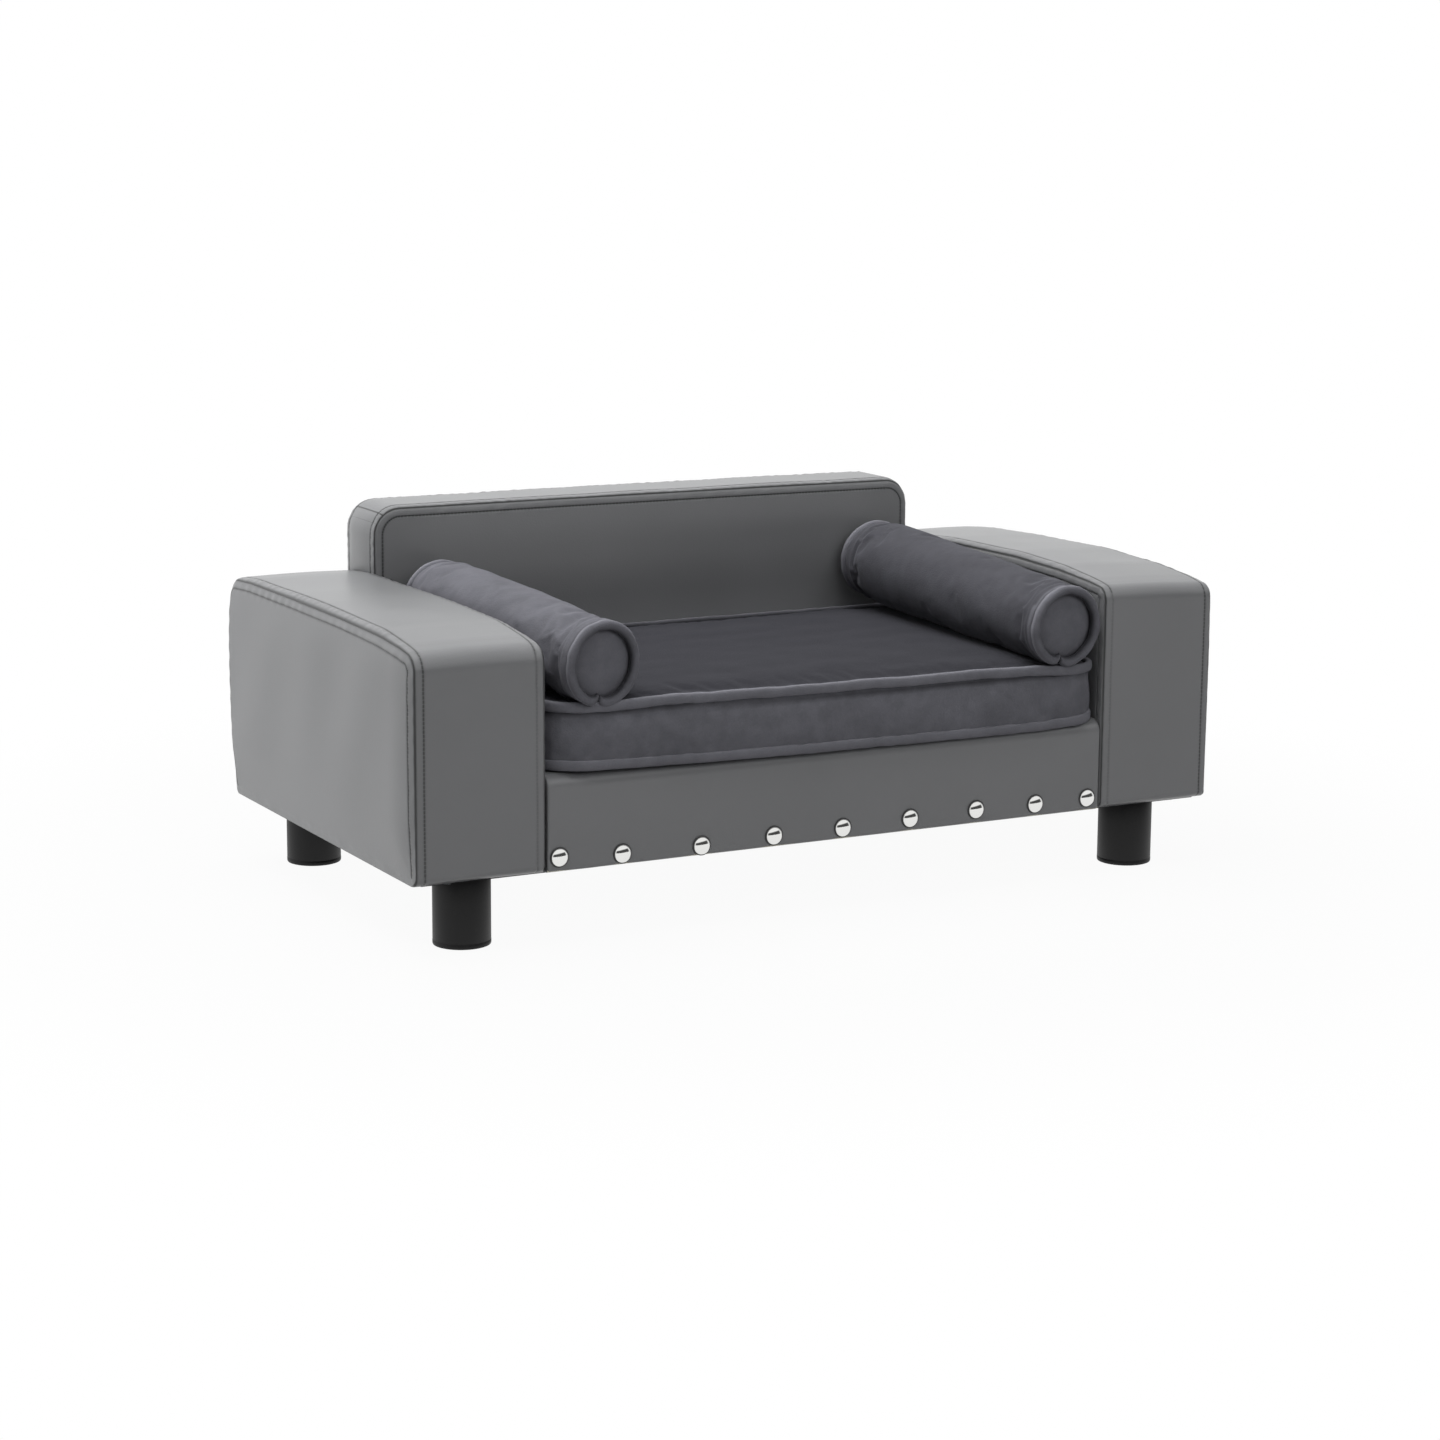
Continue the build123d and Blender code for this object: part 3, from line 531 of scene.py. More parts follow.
def plain_material(
    name, colour, roughness, grain, second=None,
    metallic=0.0, stretch=(1, 1, 1), bump=0.15, gloss=0.5,
):
    """A finish with one small pattern: grain is its size in metres, second its other colour."""
    material, tree, shader = new_material(name)
    place = add_node(tree, "ShaderNodeTexCoord").outputs["Object"]
    drawn = add_node(tree, "ShaderNodeMapping", {"Vector": place, "Scale": stretch}).outputs[0]
    specks = {"Vector": drawn, "Scale": 1 / grain, "Detail": 4.0}
    pattern = add_node(tree, "ShaderNodeTexNoise", specks).outputs[0]
    if second:
        share = add_node(tree, MAP, {0: pattern, 1: 0.35, 2: 0.65}).outputs[0]
        mottle = {0: share, 6: linear(colour), 7: linear(second)}
        surface = add_node(tree, MIX, mottle, data_type="RGBA").outputs[2]
        fill(tree, shader, Base_Color=surface)
    else:
        fill(tree, shader, Base_Color=linear(colour))
    uneven = {0: pattern, 1: 0.12, 2: roughness - 0.06}
    rough = add_node(tree, MATH, uneven, operation="MULTIPLY_ADD").outputs[0]
    relief = {"Height": pattern, "Strength": bump, "Distance": 0.0003}
    lumps = add_node(tree, "ShaderNodeBump", relief).outputs[0]
    fill(tree, shader, Roughness=rough, Metallic=metallic, Normal=lumps, Specular_IOR_Level=gloss)
    return material


MATERIALS = {}


def paint(nodes, material):
    """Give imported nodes, named by their endings, a material in their slots."""
    for name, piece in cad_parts.items():
        if name.endswith(nodes):
            if not piece.material_slots:
                piece.data.materials.append(material)
            for slot in piece.material_slots:
                slot.material = material


def arm_shape(side):
    """The arm's side outline in y and z: flat below, nearly flat on top, falling at the front.
    The right arm's foam is packed fuller, and its front falls less."""
    fuller = np.array([0, 0, 0.5, 1.5, 4.6, 6.8, 6.0, 6.0, 7.0]) * (side > 0)
    corners = np.array(
        [
            (-214.0, UNDERSIDE), (214.0, UNDERSIDE), (214.0, 266.5), (165.0, 269.0), (60.0, 269.3),
            (-60.0, 268.5), (-138.0, 266.6), (-184.0, 263.0), (-214.0, 258.4),
        ]
    )
    corners[:, 1] += fuller
    radii = [8, 10.5, 14, 90, 300, 300, 120, 90, 16 if side < 0 else 12]
    fractions = even_fractions(corners, [6] + [2.6] * 8)
    return corners, radii, fractions, (-112.0, 112.0, 165.0)


def arm_swell(side):
    """Heights over the arm's box: soft top, outer panel fullest towards the rear and above."""
    seed = 10 if side < 0 else 20
    top_y = [-214, -197, -165, -130, 0, 150, 195, 214]
    top_rise = [0.9, 2.2, 3.6, 5.0, 5.4, 4.2, 2.8, 1.0]

    def band(y, across, normals, run, waves):
        """Rise and waves that fall off at the seams, a crown on top and puckers by the stitches."""
        near = np.minimum(across, ARM_OUTER_SEAM - ARM_INNER_SEAM - across)
        up = ease(0.25, 0.9, normals[:, 1])
        clear = 1 - ease(0.3, 0.9, -normals[:, 1])  # nothing swells on the underside
        rise = (1.1 + up * (np.interp(y, top_y, top_rise) - 1.1)) * clear
        crown = 0.6 * ease(8, 50, near) * up
        pucker = ripple(seed + 1, 11, run, near * 0.4) * 0.3 * bell(near - 4.5, 4)
        return (1 - np.exp(-near / 3.0)) * (rise + waves) + crown + pucker * clear

    def swell(face, flat, across, normals, run):
        """The band's heights, or a panel's: its rise rolls off at the edge, and the outer
        panel is fuller and rounder."""
        y, z = flat[:, 0], flat[:, 1]
        if face == "band":
            return band(y, across, normals, run, ripple(seed, 95, y, z, across) * 0.35)
        waves = ripple(seed, 95, y, z, across * 0) * 0.7
        rise, full = 2.0, 0.0
        roll = 1 - np.exp(-across / 3.0)
        if (face == "low") == (side < 0):
            # The outer panel's foam thins out towards the front and the top, and along the bottom
            rise = 1.6 + 4.2 * ease(64, 125, z) * (1 if side < 0 else 0.5)
            front = 1 - np.clip(1 - (y + 214) / 38, 0, 1) ** 2
            top = 1 - np.clip(1 - (268 - z) / 38, 0, 1) ** 2
            roll = np.sin(np.clip(across / 9.0, 0, 1) * np.pi / 2) * (0.25 + 0.75 * front * top)
            full = 1.7 * ease(64, 190, z) * (1 - ease(205, 268, z))
            full = full * (0.3 + 0.7 * ease(-215, 80, y))
        edge = 1 - (1 - roll) * ease(UNDERSIDE, 72, z)
        pucker = ripple(seed + 3, 12, run, across * 0.4) * 0.28 * bell(across - 5, 4)
        return edge * rise + full + waves * ease(0, 30, across) + pucker * ease(63, 70, z)

    return swell


def backrest_shape():
    """The backrest seen from the front: straight between the arms, a little wider above them."""
    corners = np.array(
        [
            (-281.2, 63.8), (281.2, 63.8), (281.2, 254.0), (288.0, 262.0), (287.8, 330.8),
            (120.0, 331.9), (-120.0, 332.6), (-288.0, 332.6), (-288.2, 262.0), (-281.2, 254.0),
        ]
    )
    radii = [3, 3, 6, 6, 24, 900, 900, 25, 6, 6]
    fractions = even_fractions(corners, [8, 4] + [2.6] * 7 + [4])
    return corners, radii, fractions, (-210.0, 210.0, 198.0)


def backrest_swell(face, flat, across, normals, run):
    """Heights over the backrest's box: flat behind the cushion, soft above the arms."""
    x, z = flat[:, 0], flat[:, 1]
    waves = ripple(31, 110, x, z, across * (face == "band")) * 0.35
    if face == "band":
        near = np.minimum(across, BACKREST_DEPTH - across)
        rise = (1.2 + 1.6 * ease(0.4, 0.95, normals[:, 1])) * ease(262, 272, z)
        bulge = ease(0.5, 1.0, np.abs(normals[:, 0])) * ease(262, 292, z) * ease(4, 24, near)
        swelled = rise + 2.4 * bulge + waves * ease(266, 285, z)
        pucker = ripple(32, 11, run, near * 0.4) * 0.34 * bell(near - 4.5, 4)
        return (1 - np.exp(-near / 3.0)) * swelled + pucker * ease(262, 275, z)
    above = ease(218, 262, z)
    full = 4.2 * above * (1 - ease(296, 334, z)) * (1 - ease(225, 284, np.abs(x)))
    pucker = ripple(33, 12, run, across * 0.4) * 0.3 * bell(across - 5, 4) * above
    return (1 - np.exp(-across / 3.0)) * (2.1 + full + waves * above) + pucker


def base_shape():
    """The seat base from the side: an upright front, a rounded top edge and a flat deck."""
    corners = [(-213.8, UNDERSIDE), (143.2, UNDERSIDE), (143.2, 148.6), (-213.8, 148.6)]
    fractions = even_fractions(np.array(corners), [14, 12, 12, 3.0])
    return corners, [4, 2, 2, 12], fractions, (-175.0, 100.0, 106.0)


def base_swell(face, flat, across, normals, run):
    """Heights over the base: the front a little full, drawn in round each nail."""
    z = flat[:, 1]
    if face != "band":
        return 0 * z
    x = across - BASE_HALF
    front = ease(0.5, 0.95, -normals[:, 0])
    nails = np.array(NAILS)
    far = np.hypot(x[:, None] - nails[:, 0], z[:, None] - nails[:, 1]).min(axis=1)
    ends = 1 - np.exp(-np.minimum(across, 2 * BASE_HALF - across) / 1.5)
    folds = 0.35 * ripple(41, 70, x, z) + 0.22 * ripple(42, 16, x, z * 0.5) * bell(z - 75, 14)
    return ends * front * (1.2 + folds) * (1 - bell(far, 13))


CUSHION_HALF = 278.6
CUSHION_FRONT, CUSHION_REAR = -215.0, 139.5
CUSHION_UNDER = 149.4
UNDER_SEAM = 4.6  # height of the bottom seam over the cushion's underside
BOLSTERS = {
    # hand: (front end of the axis, rear end of the axis)
    "left": ((-231.5, -223.0, 241.4), (-238.6, 112.0, 250.0)),
    "right": ((237.4, -224.0, 239.4), (239.6, 129.0, 257.0)),
}
BOLSTER_TURNS = {"left": 0.2, "right": 0.08}  # how far the end discs turn right, per radius
BOLSTER_RADIUS = 39.0
WELT_RING = 33.9  # radius of the welt's middle round a bolster's end


def seam_height(x, y):
    """Height of the cushion's top seam: level at the rear, sinking to the right in front."""
    places = [-278, -150, -80, 125, 200, 248, 278]
    front = np.interp(x, places, [206.0, 205.5, 204.0, 202.0, 201.5, 200.5, 199.5])
    return front + (203.8 - front) * ease(-260, 180, y)


def under_height(x, y):
    """Height of the cushion's bottom seam: at the front it hangs over the rail's round edge."""
    hang = np.interp(x, [-278, -210, -80, 125, 215, 278], [-1.5, 0.5, 2.8, 4.6, 5.4, 2.0])
    return CUSHION_UNDER + UNDER_SEAM - hang * ease(-190, -214, y)


def bolster_dip(x, y):
    """How far the bolsters press down what lies under them, most at the front."""
    dip = 0.0
    for hand, depth in (("left", 2.4), ("right", 4.4)):
        centre = BOLSTERS[hand][0][0]
        dip = dip + depth * bell(x - centre, 34) * (1 - 0.5 * ease(-150, 120, y))
    return dip


def cushion_plan(spacing):
    """The cushion's outline from above: bowed front, sides drawn in, corners well rounded."""
    half, front, rear = CUSHION_HALF, CUSHION_FRONT, CUSHION_REAR
    corners = np.array(
        [
            (-half, front + 1), (-120, front - 2.2), (0, front - 3), (120, front - 2.2),
            (half, front + 1), (half - 2.6, -37), (half, rear), (-half, rear), (-half + 2.6, -37),
        ]
    )
    radii = [36, 900, 900, 900, 25, 2500, 34, 34, 2500]
    return rounded_outline(corners, radii, even_fractions(corners, [spacing] * len(corners)))


def bolster_frame(hand):
    """Start, length and the three axes of a bolster: along it, to the right and upwards."""
    start, end = (np.array(corner) for corner in BOLSTERS[hand])
    length = np.linalg.norm(end - start)
    along = (end - start) / length
    right = unit(np.cross(along, (0, 0, 1)))
    return start, length, along, right, np.cross(right, along)


def points_of(mesh):
    """The mesh's points in millimetres, one row each."""
    flat = np.empty(len(mesh.vertices) * 3)
    mesh.vertices.foreach_get("co", flat)
    return flat.reshape(-1, 3) / MM


def inflate(piece, pressure, pinned, cap, settle, spare, voxel=None):
    """Blow the piece up as sewn cloth: seams stay pinned, and no point moves past the cap.

    A voxel remesh comes first where a size is given. spare is the share of extra cloth, which
    gathers into soft folds. settle keeps the points where their neighbours leave room.
    """
    scene = bpy.context.scene
    if voxel:
        remesh = piece.modifiers.new("remesh", "REMESH")
        remesh.mode, remesh.voxel_size = "VOXEL", voxel * MM
        graph = bpy.context.evaluated_depsgraph_get()
        old = piece.data
        piece.data = bpy.data.meshes.new_from_object(piece.evaluated_get(graph))
        piece.data.name = old.name
        piece.modifiers.clear()
        bpy.data.meshes.remove(old)
    mesh = piece.data
    start = moved = points_of(mesh)
    sewn = piece.vertex_groups.new(name="sewn")
    sewn.add(np.nonzero(pinned(start))[0].tolist(), 1.0, "REPLACE")
    cloth = piece.modifiers.new("cloth", "CLOTH")
    cloth.settings.use_pressure = True
    cloth.settings.uniform_pressure_force = pressure
    cloth.settings.vertex_group_mass = "sewn"
    cloth.settings.shrink_min = -spare
    cloth.settings.effector_weights.gravity = 0
    cloth.collision_settings.use_collision = False
    cloth.point_cache.frame_start, cloth.point_cache.frame_end = 1, CLOTH_FRAMES
    for frame_number in range(1, CLOTH_FRAMES + 1):
        scene.frame_set(frame_number)
    graph = bpy.context.evaluated_depsgraph_get()
    moved = points_of(piece.evaluated_get(graph).to_mesh())
    piece.evaluated_get(graph).to_mesh_clear()
    piece.modifiers.clear()
    piece.vertex_groups.clear()
    scene.frame_set(1)
    step = moved - start
    far = np.linalg.norm(step, axis=1, keepdims=True)
    placed = settle(start + step * np.minimum(1, cap / np.maximum(far, 1e-6)), start)
    mesh.vertices.foreach_set("co", (placed * MM).ravel())
    mesh.update()
    mesh.shade_smooth()
    return placed


def rope_along(name, path, outward, upward, section, material, closed=True):
    """A section carried along a path: section(run) gives its points outward and upward, and
    how much painted shade and painted highlight each takes, one row for each point of the
    path. An open rope is closed at both ends by a cap."""
    out, up, painted_seam_shade, painted_ridge_highlight = section(run_along(path))
    points = path[:, None] + outward[:, None] * out[..., None] + upward[:, None] * up[..., None]
    attributes = {"painted_seam_shade": painted_seam_shade, "painted_ridge_highlight": painted_ridge_highlight}
    if not closed:
        return lofted(name, points, material, attributes)
    rows, columns = out.shape
    index = np.arange(columns)
    after = np.roll(index, -1)
    last = (rows - 1) * columns
    joint = np.stack([index + last, after + last, after, index], axis=-1)
    faces = np.concatenate([grid_faces(rows, columns), joint])
    return put_mesh(name, points.reshape(-1, 3), faces, material, attributes=attributes)


def turned(name, profile, centres, axis, material, segments=64):
    """Profiles of (radius, height) turned about parallel axes through the centres, as one mesh.

    A profile starts and ends on the axis, and each end is closed by a fan to one point.
    """
    axis = np.asarray(axis, float)
    side = unit(np.cross(axis, (0.3, 0.2, 0.9)))
    other = np.cross(axis, side)
    profile = np.asarray(profile, float)
    angle = full_turn(segments)
    ring = np.cos(angle)[:, None] * side + np.sin(angle)[:, None] * other
    inner = profile[1:-1]
    body = inner[:, None, 0, None] * ring[None] + inner[:, None, 1, None] * axis
    points = np.concatenate([body.reshape(-1, 3), profile[[0, -1], 1:] * axis])
    rows = len(inner)
    index = np.arange(segments)
    after = np.roll(index, -1)
    base = (rows - 1) * segments
    start = np.stack([np.full(segments, rows * segments), after, index], axis=-1)
    end = np.stack([np.full(segments, rows * segments + 1), index + base, after + base], axis=-1)
    polygons = []
    for copy in range(len(centres)):
        for faces in (grid_faces(rows, segments), start, end):
            polygons += (faces + copy * len(points)).tolist()
    copies = [points + np.asarray(centre) for centre in centres]
    none = np.zeros((0, 4), int)
    return put_mesh(name, np.concatenate(copies), none, material, caps=polygons)


def stuff_cushion(outline, middle):
    """The seat cushion's plush skin, swelled: rings from the outline to the middle, below and
    above, joined by a boxing that bulges along a half sine."""
    top = seam_height(outline[:, 0], outline[:, 1])
    low = under_height(outline[:, 0], outline[:, 1]) - UNDER_SEAM
    rings = []
    for share in (0.985, 0.86, 0.72, 0.58, 0.44, 0.3, 0.18, 0.08, 0.0):
        flat = outline + share * (middle - outline)
        height = low if share == 0 else np.full(len(flat), CUSHION_UNDER)
        rings.append(np.column_stack([flat, height]))
    for share in (0.12, 0.3, 0.5, 0.7, 0.88, 1.0):
        bulge = 2.6 * np.sin(np.pi * share) ** 0.7 * unit(outline - middle)
        rings.append(np.column_stack([outline + bulge * [0.9, 1.0], low + share * (top - low)]))
    for share in (0.05, 0.1, 0.18, 0.3, 0.44, 0.58, 0.72, 0.86, 0.985):
        flat = outline + share * (middle - outline)
        crown = 5.0 * (1 - (1 - min(1.0, share * 1.6)) ** 2)
        rings.append(np.column_stack([flat, seam_height(flat[:, 0], flat[:, 1]) + crown]))
    pad = lofted("seat_cushion_plush", rings, MATERIALS["plush"])

    def pinned(points):
        """The underside, and all that lies near one of the two seams."""
        x, y, z = points.T
        edge = np.hypot(x[:, None] - outline[:, 0], y[:, None] - outline[:, 1]).min(axis=1)
        bottom_seam = under_height(x, y) - UNDER_SEAM
        level = np.minimum(np.abs(z - bottom_seam), np.abs(z - seam_height(x, y)))
        return ((edge < 4.5) & (level < 4.5)) | (z < CUSHION_UNDER + 1.0)

    def settle(points, start):
        """Ripple the top, press it down under the bolsters and keep clear of the frame."""
        x, y, z = points.T
        above = ease(-6, 2, start[:, 2] - seam_height(x, y))
        z = z + above * 0.45 * ripple(61, 70, x * 0.8, y * 1.3) * ease(0, 40, 278 - np.abs(x))
        reach = BOLSTER_RADIUS + 1.2
        for hand in BOLSTERS:
            first, length, along = bolster_frame(hand)[:3]
            share = (y - first[1]) / (length * along[1])
            centre_z = first[2] + share * length * along[2]
            off = np.abs(x - first[0] - share * length * along[0])
            under = centre_z - reach * np.sqrt(1 - np.clip(off / reach, 0, 0.999) ** 2)
            near = (off < BOLSTER_RADIUS) & (share > -0.05) & (share < 1.03) & (above > 0.3)
            z = np.where(near, np.minimum(z, under), z)
        most = seam_height(x, y) + 9.5 - bolster_dip(x, y)
        z = np.where(above < 0.3, z, np.minimum(z, most))
        z = np.where(y > -212, np.maximum(z, CUSHION_UNDER), z)
        return np.stack([np.clip(x, -281.0, 281.0), np.clip(y, -221.5, 140.6), z], axis=1)

    placed = inflate(pad, 4.0, pinned, 4.0, settle, 0.015, voxel=4.6)
    below = seam_height(placed[:, 0], placed[:, 1]) - placed[:, 2]
    # Painted shade over the whole top, and a line of painted shadow on the boxing just under the
    # top welt
    add_attribute(pad.data, "nap_and_painted_shade", ease(2.0, -3.0, below))
    add_attribute(pad.data, "painted_seam_shade", bell(below - 6.0, 3.0) * 0.8)
    subdivide(pad)
    return pad


def cushion_core(outline, middle):
    """The seat cushion's foam, a little smaller than its cover all round."""
    core = outline - 9.0 * unit(outline - middle)
    x, y = core.T
    upper = seam_height(x, y) - bolster_dip(x, y) - 9.0
    rings = [np.column_stack([core, height]) for height in (0 * x + CUSHION_UNDER + 3.0, upper)]
    for share in (0.1, 0.25, 0.45, 0.7, 0.98):
        flat = core + share * (middle - core)
        x, y = flat.T
        press = 1.6 * bolster_dip(x, y)
        rings.append(np.column_stack([flat, seam_height(x, y) - 4.0 - press]))
    return lofted("seat_cushion_foam_core", rings, MATERIALS["foam"])


def cushion_welt(name, path, normals, height, seed):
    """A squared rope of plush along one of the cushion's seams, which leans in and out."""

    def section(run):
        """A rounded square, 6.4 mm wide and 9.4 mm high, that grows and shrinks along the run."""
        angle = full_turn(20)[None]
        full = 1 + 0.05 * ripple(seed, 26, run)[:, None]
        flat, tall = rounded(np.cos(angle), 0.75), rounded(np.sin(angle), 0.8)
        lean = 0.5 * ripple(seed + 4, 45, run)[:, None]
        out = 0.4 + 3.2 * flat * full + lean * 0.4 * tall
        # Painted shade on the inner side against the boxing, and painted highlight all round,
        # strongest on top
        painted_seam_shade = np.exp(-((flat + 1) / 0.4)) * np.ones_like(full)
        painted_ridge_highlight = (0.3 + 0.7 * bell(angle - 1.35, 0.4)) * np.ones_like(full)
        return out, 4.7 * tall * full, painted_seam_shade, painted_ridge_highlight

    line = np.column_stack([path, height])
    outward = np.column_stack([normals, np.zeros(len(path))])
    upward = np.tile([0.0, 0.0, 1.0], (len(path), 1))
    return rope_along(name, line, outward, upward, section, MATERIALS["plush"])


def stuff_bolster(hand, seed):
    """A bolster's plush roll with its end discs, swelled: a profile turned about the axis, its
    radius rippled into folds and flattened below."""
    start, length, along, right, up = bolster_frame(hand)
    turn_out = BOLSTER_TURNS[hand]
    # Half profile: distance along the axis and radius, from one disc's middle to the other's
    ends = [
        (4.6, 1.5), (4.7, 8), (5.2, 15), (6.0, 22), (7.4, 27), (9.0, 29.6), (10.5, 31.5),
        (10.5, 33), (9.0, 34.8), (9.2, 36.4), (11.0, 37.1), (13.5, 37.4), (15.5, 37.5),
        (17.8, 37.8), (20.5, 38.2),
    ]
    middle = [(place, BOLSTER_RADIUS) for place in np.arange(24, length - 23, 3.4)]
    rear = [(length - place, radius) for place, radius in reversed(ends)]
    profile = np.array(ends + middle + rear)
    angle = full_turn(88)[None]
    far, radius = profile[:, :1], profile[:, 1:]
    skin = ease(12, 60, far) * ease(12, 60, length - far) * (radius > 35)
    folds = ripple(seed, 34, angle * 40, far * 0.22) * 0.9
    folds = folds + ripple(seed + 1, 16, angle * 40, far * 0.4) * 0.3
    near_end = np.exp(-np.minimum(far, length - far) / 22)
    pull = ripple(seed + 2, 13, angle * 40, far * 0.1) * 0.35 * near_end
    sunk = 1.6 * ease(200, 30, far) * (radius > 38)
    radius = radius + skin * folds + pull * (radius > 35) - sunk
    out, high = radius * np.cos(angle), radius * np.sin(angle)
    high = np.where(high < -35.5, -35.5 + (high + 35.5) * 0.55, high)
    far = far + turn_out * out * ease(90, 20, far)
    points = start + far[..., None] * along + out[..., None] * right + high[..., None] * up
    roll = lofted(f"{hand}_bolster_plush", points, MATERIALS["plush"])

    def pinned(places):
        """Both end discs and their seams."""
        off = places - start
        away = off @ along - turn_out * (off @ right) * ease(90, 20, off @ along)
        return (away < 21) | (away > length - 21)

    def settle(places, before):
        """Keep the roll within its radius, and flat where it lies on the cushion."""
        off = places - start
        side, rise = off @ right, off @ up
        most = np.where((before - start) @ along > 0, BOLSTER_RADIUS + 1.8, 99)
        share = np.minimum(1, most / np.maximum(np.hypot(side, rise), 1e-6))
        rise = np.maximum(rise * share, -37.0)
        lengthwise = start + (off @ along)[:, None] * along
        return lengthwise + (side * share)[:, None] * right + rise[:, None] * up

    inflate(roll, 3.0, pinned, 4.0, settle, 0.02)
    # Painted shade past the front disc: strong on the right bolster, slight on the left
    beyond_disc = (points_of(roll.data) - start) @ along > 11
    add_attribute(roll.data, "nap_and_painted_shade", (0.62 if hand == "right" else 0.1) * beyond_disc)
    subdivide(roll)
    return roll


def bolster_core(hand):
    """The polyester fibre that fills a bolster: a plain roll with rounded ends."""
    start, length, along, right, up = bolster_frame(hand)
    front = [(22, 0.5), (22.2, 26), (25, 30), (31, 32)]
    rear = [(length - 24, 32), (length - 18, 31), (length - 15.2, 27), (length - 15, 0.5)]
    profile = np.array(front + rear)
    angle = full_turn(40)[None]
    out, high = profile[:, 1:] * np.cos(angle), profile[:, 1:] * np.sin(angle)
    points = start + profile[:, :1, None] * along + out[..., None] * right + high[..., None] * up
    return lofted(f"{hand}_bolster_fibre", points, MATERIALS["fibre"])


def bolster_welt(hand, end, seed):
    """The welt that stands round a bolster's end disc, 0 in front and 1 at the rear: nearly a
    full turn, whose two ends tuck into the seam at the bottom."""
    start, length, along, right, up = bolster_frame(hand)
    turn = np.linspace(math.radians(-260), math.radians(96), 150)
    share = (turn - turn[0]) / (turn[-1] - turn[0])
    tuck = np.exp(-share / 0.022) + 0.6 * np.exp(-(1 - share) / 0.022)
    radius = WELT_RING + 0.3 * ripple(seed + 5 + end, 40, turn * 35) - 5.0 * tuck
    outward = np.cos(turn)[:, None] * right - np.sin(turn)[:, None] * up
    inset = 3.5 * tuck + 0.4 * ripple(seed + 8, 50, turn * 35)
    depth = length - 4.6 - inset
    if end == 0:
        depth = 4.6 + inset + BOLSTER_TURNS[hand] * radius * np.cos(turn)
    line = start + depth[:, None] * along + radius[:, None] * outward

    def section(run):
        """A squared circle about 9 mm across, with painted highlight along its outer ridge."""
        angle = full_turn(22)[None]
        full = 1 + 0.06 * ripple(seed + 9 + end, 17, run)[:, None]
        out = 4.2 * rounded(np.cos(angle), 0.85) * full
        # Painted shade on the inner side, towards the disc, and painted highlight on the outer
        # ridge
        painted_seam_shade = np.exp(-((np.cos(angle) + 1) / 0.5)) * np.ones_like(full)
        painted_ridge_highlight = bell(1 - np.cos(angle), 0.06) * np.ones_like(full)
        return out, 4.6 * np.sin(angle) * full, painted_seam_shade, painted_ridge_highlight

    name = f"{hand}_bolster_{'rear' if end else 'front'}_welt"
    upward = np.tile(along, (len(line), 1))
    return rope_along(name, line, outward, upward, section, MATERIALS["plush"], closed=False)


def seen_rays(tree):
    """Light Path's outputs, and 1 for a ray from the camera, a mirror or glass."""
    path = add_node(tree, "ShaderNodeLightPath").outputs
    direct = {0: path["Is Camera Ray"], 1: path["Is Glossy Ray"]}
    mirrored = add_node(tree, MATH, direct, operation="MAXIMUM").outputs[0]
    through = {0: mirrored, 1: path["Is Transmission Ray"]}
    return path, add_node(tree, MATH, through, operation="MAXIMUM").outputs[0]


